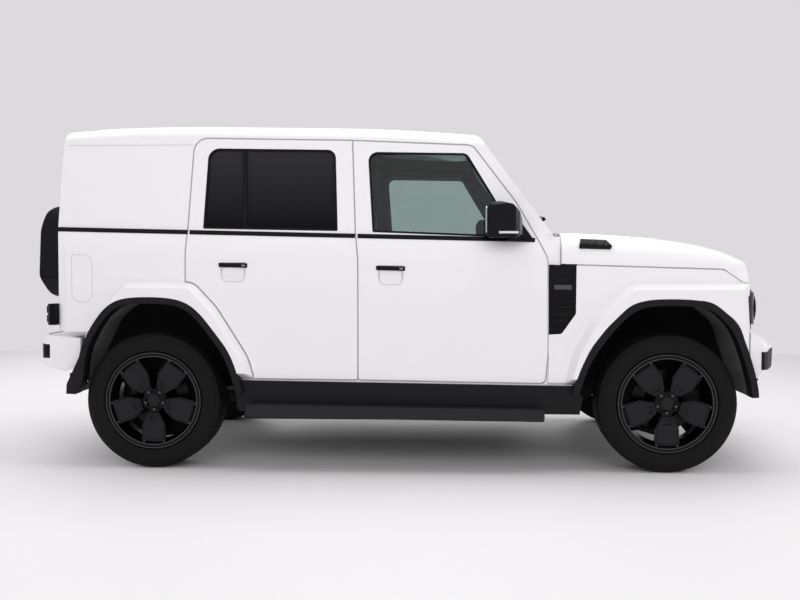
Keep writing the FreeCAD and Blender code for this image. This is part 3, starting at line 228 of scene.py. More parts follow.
def blackAlloy():
    # Gloss black lacquered alloy with satin dark grey faces on the pads
    material, tree, shader = newMaterial("lacqueredAlloy", Metallic=0.0, IOR=1.5, Specular_IOR_Level=0.16)
    w = wheelLook
    facing = workOut(tree, [
        ("outboard", "ABSOLUTE", "y"),
        ("fromMiddle", "SUBTRACT", "x", w["midX"]),
        ("reach", "ABSOLUTE", "fromMiddle"),
        ("along", "SUBTRACT", "reach", w["halfBase"]),
        ("rise", "SUBTRACT", "z", w["centreZ"]),
        ("alongSquare", "MULTIPLY", "along", "along"),
        ("riseSquare", "MULTIPLY", "rise", "rise"),
        ("square", "ADD", "alongSquare", "riseSquare"),
        ("radius", "SQRT", "square"),
        ("outside", "GREATER_THAN", "outboard", w["padFaceY"]),
        ("within", "LESS_THAN", "radius", w["padReach"]),
        ("facing", "MULTIPLY", "outside", "within"),
    ])["facing"]
    place = addNode(tree, "ShaderNodeTexCoord").outputs["Object"]
    noise = addNode(tree, "ShaderNodeTexNoise", {"Vector": place, "Scale": 180.0, "Detail": 2.0})
    bump = addNode(tree, "ShaderNodeBump",
                   {"Height": noise.outputs["Fac"], "Strength": 0.2, "Distance": mm(0.05)})
    tree.links.new(bump.outputs["Normal"], shader.inputs["Normal"])
    blendColour(tree, shader, facing, "#060607", "#1e1d1f")
    rough = addNode(tree, "ShaderNodeMapRange", {"Value": facing, "To Min": 0.22, "To Max": 0.45})
    tree.links.new(rough.outputs["Result"], shader.inputs["Roughness"])
    return material


paint = whiteGlossPaint("whiteGlossPaint", False)
cabPaint = whiteGlossPaint("whitePaintOverTrim", True)
# Piano-black ABS, injection moulded and lacquered
glossBlack = grainedFinish("glossBlackPlastic", (9.0, 0.02, 0.1), ("#060507", "#0b0a0c"),
                           Roughness=0.14, IOR=1.49, Specular_IOR_Level=0.22)
# Moulded-in-colour polypropylene cladding with leather-like grain, about 0.8 mm drawn at 2.5 mm to show
grainBlack = grainedFinish("grainedBlackPlastic", (2.5, 0.25, 0.4, 4.0), ("#0e0d0f", "#181719"),
                           Roughness=0.5, IOR=1.49, Specular_IOR_Level=0.2)
# Moulded side step, smooth satin black
stepSkin = grainedFinish("satinStepRubber", (3.0, 0.15, 0.3), ("#1a191b", "#232224"),
                         Roughness=0.45, IOR=1.5, Specular_IOR_Level=0.25)
# Clear polycarbonate light guide over a white reflector
lampGuide = shadedFinish("clearLampGuide", "ribs", 60.0, ("#c9cbd0", "#e4e6ea"),
                         Roughness=0.12, IOR=1.58, Coat_Weight=0.6)
# Light grey painted shade of the gaps, laid as strands at the bottom of the shut lines
gapShadeGrey = shadedFinish("paintedGapShadeGrey", "noise", 90.0, ("#b4b2b5", "#c2c0c3"), Roughness=0.8, IOR=1.45)
# Extruded EPDM window seal: matt black
sealBlack = grainedFinish("extrudedSealRubber", (2.0, 0.1, 0.3), ("#09090a", "#101011"),
                          Roughness=0.6, IOR=1.5, Specular_IOR_Level=0.2)
# Plain white reflective sheeting of a blank number plate, with its bead pattern drawn at 2 mm
plateWhite = shadedFinish("blankPlateSheeting", "beads", 500.0, ("#dcdddf", "#e6e7e9"),
                          Roughness=0.45, IOR=1.5)
# Laminated glass with a light green tint
clearGlass = shadedFinish("greenTintGlass", "noise", 1.5, ("#bfcfca", "#c8d6d2"),
                          Roughness=0.0, IOR=1.45, Transmission_Weight=1.0, Specular_IOR_Level=0.1)
darkGlass = privacyGlass()
# Smoked acrylic lamp cover
lampSmoke = shadedFinish("smokedLampAcrylic", "noise", 6.0, ("#070608", "#0e0d10"),
                         Roughness=0.12, IOR=1.49, Specular_IOR_Level=0.15)
# Red acrylic of the tail lamps
lampRed = shadedFinish("redLampAcrylic", "ribs", 40.0, ("#4a0508", "#7a0a0e"),
                       Roughness=0.08, IOR=1.49, Coat_Weight=0.5)
# Silvered mirror glass: bright, with sharp reflections
mirrorFace = shadedFinish("mirrorSilver", "noise", 3.0, ("#c9cccf", "#d2d5d8"), Metallic=1.0, Roughness=0.02)
# Bead-blasted aluminium for the small bright parts
silver = grainedFinish("satinAluminium", (1.2, 0.03, 0.3), ("#a3a4a6", "#b5b6b8"),
                       Metallic=1.0, Roughness=0.32)
# Dark silver powder coat on bolts and small bars; the same grey on the rim rings is a painted highlight
greyCoatAndHighlight = grainedFinish("greyPowderCoatAndRingHighlight", (1.5, 0.04, 0.3), ("#4a494c", "#5a595c"),
                          Metallic=0.5, Roughness=0.42, Specular_IOR_Level=0.3)
# Sand-cast and black-dipped iron of hubs, knuckles and arms
iron = grainedFinish("dippedCastIron", (4.0, 0.4, 0.7, 4.0), ("#0e0e0f", "#1a1a19"),
                     Metallic=0.2, Roughness=0.62, Specular_IOR_Level=0.25)
# Stone-chip coating on sheet steel: matt and pebbled
underCoat = grainedFinish("stoneChipCoating", (5.0, 0.6, 0.7, 5.0), ("#0e0e10", "#18181a"),
                          Roughness=0.7, IOR=1.5, Specular_IOR_Level=0.25)
# Foamed vinyl skin of the dashboard: dull and soft
softPlastic = grainedFinish("softTouchPlastic", (2.0, 0.2, 0.5, 3.0), ("#101012", "#19191b"),
                            Roughness=0.68, IOR=1.45, Specular_IOR_Level=0.25)
# Needle-felt arch liner: matt black fibres
felt = grainedFinish("needleFelt", (1.6, 0.5, 0.8, 5.0), ("#070708", "#131314"),
                     Roughness=0.95, IOR=1.4, Sheen_Weight=0.2)
cloth = seatCloth()
# Carbon-black tyre compound: matt, slightly brown-grey
rubber = grainedFinish("tyreRubber", (3.0, 0.15, 0.5, 4.0), ("#0b0b0b", "#131213"),
                       Roughness=0.66, IOR=1.52, Specular_IOR_Level=0.16)
alloy = blackAlloy()
print("materials made:", len(bpy.data.materials))


# The CAD nodes keep their shape and take these finishes
finishes = {}
for material, names in (
        (cabPaint, "body_shell roof tailgate"),
        (cabPaint, "door_front_right door_front_left door_rear_right door_rear_left"),
        (paint, "bonnet front_fenders front_flares rear_flares front_bumper rear_bumper"),
        (clearGlass, "window_front_right window_front_left windscreen"),
        (darkGlass, "window_rear_right window_rear_left tailgate_window"),
        (glossBlack, "tailgate_case fender_vents mirror_right mirror_left grille_panel"),
        (grainBlack, "corner_lamps front_valance arch_lips sill_cladding cowl_panel"),
        (lampSmoke, "headlamps rear_lamps"), (stepSkin, "side_steps"), (felt, "arch_liners"),
        (underCoat, "floor_pan battery_pack"), (iron, "knuckle_right knuckle_left front_axle rear_axle"),
        (cloth, "front_seats rear_bench"), (softPlastic, "dashboard steering_wheel")):
    for name in names.split():
        finishes[name] = material
sides = (("right", -1), ("left", 1))
for end in ("front", "rear"):
    for side, sign in sides:
        finishes["wheel_%s_%s" % (end, side)] = alloy
        finishes["tyre_%s_%s" % (end, side)] = rubber

for name, node in nodes.items():
    node.data.materials.clear()
    node.data.materials.append(finishes[name])
print("finishes put on", len(finishes), "nodes")


# Modelling helpers: each finished piece sits at the origin with its place in its mesh
def pick(*pieces):
    # Selects these pieces alone, the first one active
    if bpy.context.object and bpy.context.object.mode != "OBJECT":
        bpy.ops.object.mode_set(mode="OBJECT")
    bpy.ops.object.select_all(action="DESELECT")
    for piece in pieces:
        piece.select_set(True)
    if pieces:
        bpy.context.view_layer.objects.active = pieces[0]


def label(piece, name, body):
    piece.name = name
    piece.data.name = name
    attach(piece, body)
    return piece


def finishPiece(piece, name, material, body, bevel=0.0, angle=35.0):
    pick(piece)
    bpy.ops.object.transform_apply(location=True, rotation=True, scale=True)
    if bevel > 0:
        modifier = piece.modifiers.new("edges", "BEVEL")
        modifier.width = bevel
        modifier.segments = 2
        modifier.limit_method = "ANGLE"
        modifier.angle_limit = math.radians(30)
        bpy.ops.object.modifier_apply(modifier=modifier.name)
    bpy.ops.object.shade_smooth_by_angle(angle=math.radians(angle))
    piece.data.materials.clear()
    piece.data.materials.append(material)
    return label(piece, name, body)


def addBar(name, start, end, width, height, material, body, bevel=0.001, up=(0, 0, 1), slot=None):
    # Bar between two points: width across, height along the up direction
    start, end, up = Vector(start), Vector(end), Vector(up)
    along = (end - start).normalized()
    across = up.cross(along).normalized()
    rise = along.cross(across)
    turn = Matrix((along, across, rise)).transposed().to_euler()
    pick()
    bpy.ops.mesh.primitive_cube_add(size=1, location=(start + end) / 2, rotation=turn,
                                    scale=((end - start).length, width, height))
    return finishPiece(bpy.context.object, name, material, body, bevel)


def drawLine(points):
    # A line drawn vertex by vertex; stays in edit mode with all selected
    pick()
    bpy.ops.mesh.primitive_plane_add(size=0.001, location=(0, 0, 0))
    piece = bpy.context.object
    bpy.ops.object.mode_set(mode="EDIT")
    bpy.ops.mesh.select_mode(type="VERT")
    bpy.ops.mesh.select_all(action="SELECT")
    bpy.ops.mesh.merge(type="CENTER")
    bpy.ops.transform.translate(value=points[0])
    for here, after in zip(points, points[1:]):
        bpy.ops.mesh.extrude_vertices_move(TRANSFORM_OT_translate={"value": Vector(after) - Vector(here)})
    bpy.ops.mesh.select_all(action="SELECT")
    return piece


def thicken(move):
    # Extrudes everything in edit mode, with its faces turned outwards, and leaves edit mode
    bpy.ops.mesh.select_all(action="SELECT")
    bpy.ops.mesh.extrude_region_move(TRANSFORM_OT_translate={"value": move})
    bpy.ops.mesh.select_all(action="SELECT")
    bpy.ops.mesh.normals_make_consistent(inside=False)
    bpy.ops.object.mode_set(mode="OBJECT")


def addPlate(name, points, move, material, body, bevel=0.001):
    # Flat plate: a drawn outline extruded by a move
    piece = drawLine(points)
    bpy.ops.mesh.edge_face_add()
    thicken(Vector(move))
    return finishPiece(piece, name, material, body, bevel)


def addSlab(name, x, line, y, width, material, bevel):
    # Side outline, its points measured along from x, pulled across the car from y
    return addPlate(name, [(x + u, y, z) for u, z in line], (0, width, 0), material, "body", bevel)


def addRing(name, points, width, move, material, body, bevel=0.001):
    # Flat frame of one width inside a closed outline
    piece = drawLine(points)
    bpy.ops.mesh.edge_face_add()
    bpy.ops.mesh.select_mode(type="FACE")
    bpy.ops.mesh.select_all(action="SELECT")
    bpy.ops.mesh.inset(thickness=width)
    bpy.ops.mesh.delete(type="FACE")
    thicken(Vector(move))
    return finishPiece(piece, name, material, body, bevel)


def spinProfile(points, centre, axis, steps):
    # Draws a profile and spins it round an axis into a closed ring
    piece = drawLine(points)
    bpy.ops.mesh.spin(steps=steps, angle=2 * math.pi, center=centre, axis=axis)
    bpy.ops.mesh.select_all(action="SELECT")
    bpy.ops.mesh.remove_doubles(threshold=0.00002)
    bpy.ops.mesh.normals_make_consistent(inside=False)
    bpy.ops.object.mode_set(mode="OBJECT")
    return piece


def addTube(name, points, radius, material, body, corners=2):
    # Round strand along an open line of points
    drawLine(points)
    bpy.ops.object.mode_set(mode="OBJECT")
    bpy.ops.object.convert(target="CURVE")
    bpy.context.object.data.bevel_depth = radius
    bpy.context.object.data.bevel_resolution = corners
    bpy.context.object.data.use_fill_caps = True
    bpy.ops.object.convert(target="MESH")
    return finishPiece(bpy.context.object, name, material, body, angle=60.0)


def addDisc(name, centre, axis, radius, depth, material, body, bevel=0.001, corners=24):
    # Round boss with a bevelled rim
    pick()
    turn = Vector(axis).to_track_quat("Z", "Y").to_euler()
    bpy.ops.mesh.primitive_cylinder_add(vertices=corners, radius=radius, depth=depth, location=centre,
                                        rotation=turn)
    return finishPiece(bpy.context.object, name, material, body, bevel)


def joinPieces(name, parts, body):
    pick(*parts)
    bpy.ops.object.join()
    return label(parts[0], name, body)


def roundOff(points, steps=5):
    # (u, v, corner radius) points to a plain outline whose corners are arcs
    line = []
    for i, (u, v, radius) in enumerate(points):
        here = Vector((u, v))
        if radius <= 0:
            line.append((u, v))
            continue
        before = (Vector(points[i - 1][:2]) - here).normalized()
        after = (Vector(points[(i + 1) % len(points)][:2]) - here).normalized()
        half = before.angle(after) / 2
        centre = here + (before + after).normalized() * (radius / math.sin(half))
        start = here + before * (radius / math.tan(half)) - centre
        end = here + after * (radius / math.tan(half)) - centre
        for k in range(steps + 1):
            line.append(tuple(centre + start.lerp(end, k / steps).normalized() * radius))
    return line


def roundBox(u0, v0, u1, v1, corner):
    return roundOff([(u0, v0, corner), (u1, v0, corner), (u1, v1, corner), (u0, v1, corner)])


def smoothLine(points, rounds=3):
    # Cuts the corners of an open line again and again until it reads as a curve
    for _ in range(rounds):
        cut = [points[0]]
        for a, b in zip(points, points[1:]):
            cut.append((a[0] * 0.75 + b[0] * 0.25, a[1] * 0.75 + b[1] * 0.25))
            cut.append((a[0] * 0.25 + b[0] * 0.75, a[1] * 0.25 + b[1] * 0.75))
        points = cut + [points[-1]]
    return points


def offsetLine(points, distance):
    moved = []
    for i, here in enumerate(points):
        before, after = Vector(points[max(i - 1, 0)]), Vector(points[min(i + 1, len(points) - 1)])
        along = (after - before).normalized()
        moved.append((here[0] - along.y * distance, here[1] + along.x * distance))
    return moved


# Tyres: road tread with three grooves round it and cross grooves on the shoulders
tyreSize = {
    "grooveDepth": 0.0075,
    "crossDepth": 0.0045,
    "pitches": 72,
    "stepsPerPitch": 3,
    "shoulder": (0.062, 0.101, 0.355),    # from and to across, least radius
    "middle": (0.027, 0.053, 0.362),
    "side": [(0.0968, 0.2415), (0.0968, 0.2605), (0.1115, 0.2710), (0.1150, 0.2850), (0.1140, 0.2870),
             (0.1168, 0.3000), (0.1174, 0.3120), (0.1168, 0.3240), (0.1140, 0.3370), (0.1120, 0.3380),
             (0.1085, 0.3500), (0.1000, 0.3598), (0.0880, 0.3640)],
    "inside": [(0.0838, 0.2415), (0.0838, 0.2750), (0.0960, 0.3000), (0.0820, 0.3480), (0.0, 0.3495)],
}


def addTyre(node, body):
    low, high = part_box(node)
    centre = (low + high) / 2
    s = tyreSize
    d = s["grooveDepth"]
    ribs = [(0.0870, 0.3642), (0.0640, 0.3652), (0.0630, 0.3652 - d), (0.0550, 0.3652 - d), (0.0540, 0.3652),
            (0.0240, 0.3658), (0.0230, 0.3658 - d), (0.0150, 0.3658 - d), (0.0140, 0.3660), (0.0, 0.3660)]
    half = s["side"] + ribs
    outer = half + [(-y, radius) for y, radius in reversed(half[:-1])]
    inner = [(-y, radius) for y, radius in s["inside"]] + s["inside"][-2::-1]
    loop = outer + inner
    points = [(centre.x, centre.y + y, centre.z + radius) for y, radius in loop + loop[:1]]
    steps = s["pitches"] * s["stepsPerPitch"]
    piece = spinProfile(points, (centre.x, centre.y, centre.z), (0, 1, 0), steps)
    # Cross grooves: every third step of the shoulder and inner ribs is sunk
    pick(piece)
    for item in (*piece.data.polygons, *piece.data.edges, *piece.data.vertices):
        item.select = False
    for polygon in piece.data.polygons:
        place = polygon.center - centre
        radius = math.hypot(place.x, place.z)
        turn = math.degrees(math.atan2(place.z, place.x)) % 360.0
        index = int(turn / (360.0 / steps))
        shoulder, middle = (s[rib][0] < abs(place.y) < s[rib][1] and radius > s[rib][2]
                            for rib in ("shoulder", "middle"))
        offset = 0 if place.y > 0 else 1
        if (shoulder and index % 3 == offset) or (middle and index % 6 == 2 + offset):
            polygon.select = True
    bpy.ops.object.mode_set(mode="EDIT")
    bpy.ops.mesh.select_mode(type="FACE")
    bpy.ops.mesh.extrude_region_shrink_fatten(TRANSFORM_OT_shrink_fatten={"value": -s["crossDepth"]})
    bpy.ops.object.mode_set(mode="OBJECT")
    finishPiece(piece, node + "_tread", rubber, body, angle=28.0)
    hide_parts(node)


for end in ("front", "rear"):
    for side, sign in sides:
        addTyre("tyre_%s_%s" % (end, side), "wheel_%s_%s" % (end, side))
print("tyres made")


# Body surfaces that the trim lies on
def beltAt(x):
    return bodyForm["beltZ"] + bodyForm["beltSlope"] * x


def sideY(x, z):
    # Body side from the centre plane: upright, rounded shoulder, waist step, leaning glasshouse
    b = bodyForm
    shift = b["beltSlope"] * x
    slope = b["beltStep"] / (b["beltZ"] - b["shoulderZ"])
    bend = math.atan(slope)
    start = b["shoulderZ"] + shift - b["shoulderRadius"] * math.tan(bend / 2)
    rise = b["shoulderRadius"] * math.sin(bend)
    if z <= start:
        return b["halfWidth"]
    if z <= start + rise:
        return b["halfWidth"] - b["shoulderRadius"] + math.sqrt(b["shoulderRadius"] ** 2 - (z - start) ** 2)
    if z <= b["beltZ"] + shift:
        return b["halfWidth"] - (z - b["shoulderZ"] - shift) * slope
    return b["halfWidth"] - b["beltStep"] - b["lean"] * (z - b["beltZ"] - shift)


def onSide(line, sign, depth):
    # (x, z) points to places on the body side, at a depth below its surface
    return [(x, sign * (sideY(x, z) - depth), z) for x, z in line]


# Black waist strips under the windows, one on each panel
waistStrip = {
    "height": 0.024,
    "stand": 0.005,
    "rise": -0.004,         # middle of the strip from the crease
    "spans": {"body": (-1.779, -1.062), "door_rear": (-1.052, -0.157), "door_front": (-0.143, 0.800)},
}


def addWaistStrips():
    w = waistStrip
    for side, sign in sides:
        for panel, span in w["spans"].items():
            body = "body" if panel == "body" else "%s_%s" % (panel, side)
            start, end = onSide([(x, beltAt(x) + w["rise"]) for x in span], sign, 0.0)
            addBar("waist_strip_%s_%s" % (panel, side), start, end, w["stand"] * 2, w["height"], glossBlack,
                   body, 0.0015, (0, -sign * bodyForm["lean"], 1))


addWaistStrips()
print("waist strips made")


# Flush door handles: a black bar over a shallow cup, with a bright key cover at its front end
doorHandle = {"length": 0.155, "height": 0.024, "stand": 0.006, "sunk": 0.001, "key": (0.030, 0.012),
              "places": {"door_rear": (-0.8115, 1.0935), "door_front": (0.035, 1.0775)}}
# Cups under the handles, their outline drawn as a thin grey ring of painted shade
cupShadeLine = {"halfWidth": 0.064, "height": 0.080, "below": 0.010, "above": 0.016, "corner": 0.032,
             "line": 0.0034}


def addHandles():
    h = doorHandle
    half, slope = h["length"] / 2, bodyForm["beltSlope"]
    for side, sign in sides:
        y = sign * (bodyForm["halfWidth"] - h["sunk"])
        for door, (x, z) in h["places"].items():
            body = "%s_%s" % (door, side)
            start, end, key, tip = ((x + u, y, z + slope * u)
                                    for u in (-half, half, half - h["key"][0], half - h["key"][1]))
            addBar("handle_" + body, start, end, h["stand"] * 2, h["height"], glossBlack, body, 0.003)
            addBar("handle_key_" + body, key, tip, h["stand"] * 2 + 0.002, 0.008, silver, body, 0.001,
                   slot="alloy_black")


def addCupShadeLines():
    c = cupShadeLine
    w, r = c["halfWidth"], c["corner"]
    for side, sign in sides:
        for door, (x, z) in doorHandle["places"].items():
            low, high = z - c["below"] - c["height"], z + c["above"]
            line = roundOff([(x - w, low, r), (x + w, low, r), (x + w, high, 0.006), (x - w, high, 0.006)])
            points = [(u, sign * (bodyForm["halfWidth"] - doorHandle["sunk"]), v) for u, v in line]
            # The grey ring over the cup's edge is painted shade
            addRing("handle_cup_edge_%s_%s" % (door, side), points, c["line"], (0, sign * 0.0014, 0), gapShadeGrey,
                    "%s_%s" % (door, side), 0.0)


addHandles()
addCupShadeLines()
print("handles made")


# Smooth black mouldings round the wheel arches, with the flaps behind the rear wheels
archMoulding = {
    "width": 0.035,
    "outerY": 0.9585,
    "innerY": 0.866,
    "round": 0.008,
    "front": [(1.024, 0.405), (1.039, 0.462), (1.089, 0.594), (1.180, 0.725), (1.285, 0.837),
              (1.363, 0.877), (1.500, 0.884), (1.665, 0.876), (1.735, 0.842), (1.817, 0.755),
              (1.864, 0.634), (1.897, 0.523), (1.914, 0.445), (1.916, 0.405)],
    "rear": [(-0.786, 0.407), (-0.807, 0.487), (-0.850, 0.610), (-0.921, 0.707), (-1.018, 0.831),
             (-1.098, 0.877), (-1.215, 0.890), (-1.367, 0.887), (-1.439, 0.864), (-1.494, 0.813),
             (-1.560, 0.712), (-1.602, 0.606), (-1.613, 0.470), (-1.655, 0.402)],
    "flapRear": [(-1.706, 0.404), (-1.703, 0.456)],
}


def addArchMouldings():
    a = archMoulding
    for end in ("front", "rear"):
        inner = smoothLine(a[end])
        outer = offsetLine(inner, a["width"] if end == "front" else -a["width"])
        if end == "rear":
            outer = [p for p in outer if not (p[0] < -1.5 and p[1] < 0.585)] + a["flapRear"][::-1]
        for side, sign in sides:
            points = [(x, sign * a["innerY"], z) for x, z in inner + outer[::-1]]
            addPlate("arch_moulding_%s_%s" % (end, side), points,
                                  (0, sign * (a["outerY"] - a["innerY"]), 0), grainBlack, "body", a["round"])
    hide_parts("arch_lips")


addArchMouldings()
print("arch mouldings made")


# Grey strands of painted shade at the bottom of the shut lines
shutLine = {
    "radius": 0.0026,
    "depth": 0.0036,
    "rearDoor": [(-1.070, 1.000, 0), (-1.070, 1.165, 0), (-1.062, 1.290, 0), (-1.036, 1.784, 0.078),
                 (-0.175, 1.767, 0.008), (-0.155, 1.262, 0), (-0.140, 1.130, 0), (-0.140, 0.480, 0)],
    "rearFlare": [(-0.7035, 0.488, 0), (-0.7325, 0.5945, 0.300), (-0.9035, 0.8695, 0.400),
                  (-1.0295, 1.002, 0.090), (-1.070, 1.002, 0)],
    "rearSill": [(-0.700, 0.485, 0), (-0.140, 0.480, 0)],
    "frontDoor": [(-0.172, 1.767, 0), (0.470, 1.737, 0.060), (0.703, 1.427, 0), (0.818, 1.226, 0.060),
                  (0.867, 1.130, 0.090), (0.871, 0.640, 0), (0.856, 0.466, 0.020), (-0.140, 0.480, 0)],
}


def openRoundOff(points):
    # Rounds the inner corners of an open line
    return roundOff([(u, v, 0 if i in (0, len(points) - 1) else r) for i, (u, v, r) in enumerate(points)])


def densify(line, most=0.04):
    dense = [line[0]]
    for a, b in zip(line, line[1:]):
        count = max(1, math.ceil((Vector(b) - Vector(a)).length / most))
        dense += [tuple(Vector(a).lerp(Vector(b), k / count)) for k in range(1, count + 1)]
    return dense


def addShutLines():
    for side, sign in sides:
        for name in ("rearDoor", "rearFlare", "rearSill", "frontDoor"):
            line = densify(openRoundOff(shutLine[name]))
            addTube("shut_line_%s_%s" % (name, side), onSide(line, sign, shutLine["depth"]),
                    shutLine["radius"], gapShadeGrey, "body")


addShutLines()


# Painted shade, as grey strands, in the seams along the bonnet's sides, which turn inwards at the nose, and
# behind its shoulders
bonnetSeam = {
    "side": [(1.022, 1.0954), (1.400, 1.0837), (1.740, 1.0731), (1.770, 1.0702), (1.800, 1.060),
             (1.880, 1.008), (1.905, 1.0005), (1.918, 1.000)],
    "cornerX": 1.790, "cornerY": 0.710, "cornerRadius": 0.185,
    "rearX": 0.9365, "edgeZ": 1.116, "edgeY": 0.745, "edgeRadius": 0.150,
}


def addBonnetSeams():
    b = bonnetSeam
    for side, sign in sides:
        points = []
        for x, z in densify(b["side"], 0.03):
            bend = max(x - b["cornerX"], 0.0)
            y = b["cornerY"] + math.sqrt(b["cornerRadius"] ** 2 - bend ** 2)
            points.append((x, sign * (y - shutLine["depth"]), z))
        addTube("bonnet_seam_" + side, points, shutLine["radius"], gapShadeGrey, "body")
        reach = b["edgeRadius"] - 0.0015
        rear = [(b["rearX"], sign * (b["edgeY"] + reach), 1.100)]
        rear += [(b["rearX"], sign * (b["edgeY"] + reach * math.cos(math.radians(turn))),
                  b["edgeZ"] + reach * math.sin(math.radians(turn))) for turn in range(0, 90, 9)]
        addTube("bonnet_rear_seam_" + side, rear, 0.0036, gapShadeGrey, "body")


addBonnetSeams()
print("shut lines filled")


# Grey lines of painted shade along the roof's drip rail and round the charge flap on the rear quarter
quarterLines = {
    "drip": [(-1.735, 1.7475), (-1.045, 1.7475)],
    "flap": [(-1.692, 0.895, 0.045), (-1.580, 0.895, 0.045), (-1.580, 1.150, 0.050), (-1.692, 1.150, 0.010)],
    "line": 0.0016,
}


def addQuarterLines():
    q = quarterLines
    for side, sign in sides:
        addTube("drip_rail_shade_" + side, onSide(q["drip"], sign, 0.0004), q["line"], gapShadeGrey, "body")
    flap = densify(roundOff(q["flap"]) + [(-1.692, 0.940)], 0.03)
    addTube("charge_flap_shade_line", onSide(flap, -1, 0.0008), q["line"], gapShadeGrey, "body")


addQuarterLines()


# Rubber seals round the side windows and the bar that divides the rear door's pane
windowSeal = {
    "width": 0.011,
    "depth": 0.0115,
    "rear": [(-0.2505, 1.2765, 0.008), (-0.2665, 1.7155, 0.048), (-0.9575, 1.7275, 0.062),
             (-0.9795, 1.2905, 0.008)],
    "front": [(-0.0645, 1.2705, 0.008), (-0.0925, 1.7035, 0.050), (0.4400, 1.6935, 0.042),
              (0.5960, 1.4355, 0), (0.7140, 1.3455, 0), (0.7750, 1.2365, 0.008)],
    "divider": ((-0.7515, 1.286), (-0.7605, 1.722), 0.026),
}


def addSeals():
    w = windowSeal
    for side, sign in sides:
        for key in ("rear", "front"):
            points = onSide(roundOff(w[key]), sign, w["depth"])
            addRing("window_seal_%s_%s" % (key, side), points, w["width"],
                    (0, sign * (w["depth"] - 0.002), 0), sealBlack, "door_%s_%s" % (key, side), 0.0015)
        low, high, width = w["divider"]
        start, end = onSide([low, high], sign, 0.0075)
        addBar("window_divider_" + side, start, end, width, 0.008, glossBlack, "door_rear_" + side, 0.0015,
               (0, sign, 0))


addSeals()
print("window seals made")


# Wipers at the foot of the windscreen
wiper = {
    "pivots": {"left": 0.50, "middle": -0.12}, "pivotX": 0.926, "pivotZ": 1.246, "pivotRadius": 0.015,
    "pivotHeight": 0.030,
    "bend": (-0.06, 0.009, 1.318),    # across from the pivot, off the glass, height
    "tip": (-0.34, 0.016, 1.366),
    "armWidth": 0.016, "bladeHalf": 0.30, "bladeZ": 1.358, "bladeRise": 0.06, "bladeOff": 0.013,
    "bladeParts": 6,
}


def onScreen(y, z, off):
    # Place on the bowed windscreen, a little in front of the glass
    b = bodyForm
    bow = 0.048 * (1 - (y / 0.96) ** 2)
    return b["screenX"] + b["screenRise"] * (z - b["screenZ"]) + bow + off, y, z


def addWipers():
    w = wiper
    for name, y in w["pivots"].items():
        reach = y + w["tip"][0]
        bend, tip = (onScreen(y + across, z, off) for across, off, z in (w["bend"], w["tip"]))
        foot = (w["pivotX"] - 0.006, y, w["pivotZ"] + 0.022)
        parts = [addDisc("pivot", (w["pivotX"], y, w["pivotZ"]), (0, 0, 1), w["pivotRadius"],
                         w["pivotHeight"], sealBlack, "body", 0.004),
                 addBar("arm", foot, bend, w["armWidth"], 0.010, sealBlack, "body", 0.003, (1, 0, 0.5)),
                 addBar("rod", bend, tip, w["armWidth"] * 0.7, 0.009, sealBlack, "body", 0.002, (1, 0, 0.7))]
        places = [reach + (k / w["bladeParts"] * 2 - 1) * w["bladeHalf"] for k in range(w["bladeParts"] + 1)]
        points = [onScreen(v, w["bladeZ"] + (v - reach) * w["bladeRise"], w["bladeOff"]) for v in places]
        parts += [addBar("blade", here, after, 0.018, 0.026, sealBlack, "body", 0.002, (1, 0, 0.7))
                  for here, after in zip(points, points[1:])]
        joinPieces("wiper_" + name, parts, "body")


addWipers()
print("wipers made")


# Blades of the bonnet vents on its shoulders, each with three ribs
bonnetVent = {"rearX": 1.030, "frontX": 1.205, "lowZ": 1.178, "highZ": 1.224, "thick": 0.018, "fall": 0.045,
              "ribs": (0.035, 0.045, 0.012)}    # first one from the rear, pitch, height over the low edge


def addBonnetVents():
    v = bonnetVent
    b = bonnetSeam

    def shoulder(z, drop, sunk):
        # Place across on the bonnet's rounded shoulder
        return b["edgeY"] + math.sqrt(b["edgeRadius"] ** 2 - (z + drop - b["edgeZ"]) ** 2) - sunk

    for side, sign in sides:
        corners = [(v["rearX"], v["lowZ"]), (v["frontX"] - 0.01, v["lowZ"] - 0.004),
                   (v["frontX"], v["lowZ"] + 0.008), (v["frontX"] - 0.028, v["highZ"] - 0.006),
                   (v["rearX"] + 0.01, v["highZ"])]
        points = [(x, sign * shoulder(z, (x - v["rearX"]) * v["fall"], 0.006), z) for x, z in corners]
        rise = Vector((0, sign * 0.78, 0.62))
        addPlate("bonnet_vent_" + side, points, rise * v["thick"], glossBlack, "bonnet", 0.003)
        first, pitch, above = v["ribs"]
        for k in range(3):
            x, z = v["rearX"] + first + k * pitch, v["lowZ"] + above
            start = Vector((x, sign * shoulder(z, 0.004, 0.004), z)) + rise * v["thick"]
            end = Vector((x + 0.014, sign * shoulder(z + 0.022, 0.004, 0.006), z + 0.022)) + rise * v["thick"]
            addBar("bonnet_vent_rib_%s_%d" % (side, k), start, end, 0.006, 0.004, grainBlack, "bonnet",
                   0.001, rise)


addBonnetVents()


# Fins and a satin bar in the sunk panels behind the front doors
fenderVent = {"faceY": 0.891, "rearX": 0.893, "frontX": 0.998, "lowFin": 0.03,
              "finZ": (0.800, 0.835, 0.870, 0.905, 1.020, 1.050),
              "barX": (0.900, 0.992), "barZ": (0.978, 0.977)}


def addVentFins():
    v = fenderVent
    for side, sign in sides:
        y = sign * (v["faceY"] - 0.003)
        parts = []
        for z in v["finZ"]:
            front = v["frontX"] - (v["lowFin"] if z < 0.83 else 0.0)
            parts.append(addBar("fin", (v["rearX"], y, z), (front, y, z + 0.004), 0.007, 0.010, glossBlack,
                                "body", 0.0015))
        joinPieces("vent_fins_" + side, parts, "body")
        y = sign * (v["faceY"] + 0.0072)
        start, end = ((x, y, z) for x, z in zip(v["barX"], v["barZ"]))
        addBar("vent_bar_" + side, start, end, 0.002, 0.024, greyCoatAndHighlight, "body", 0.0006,
               slot="plastic_gloss_black")


addVentFins()
print("vents made")


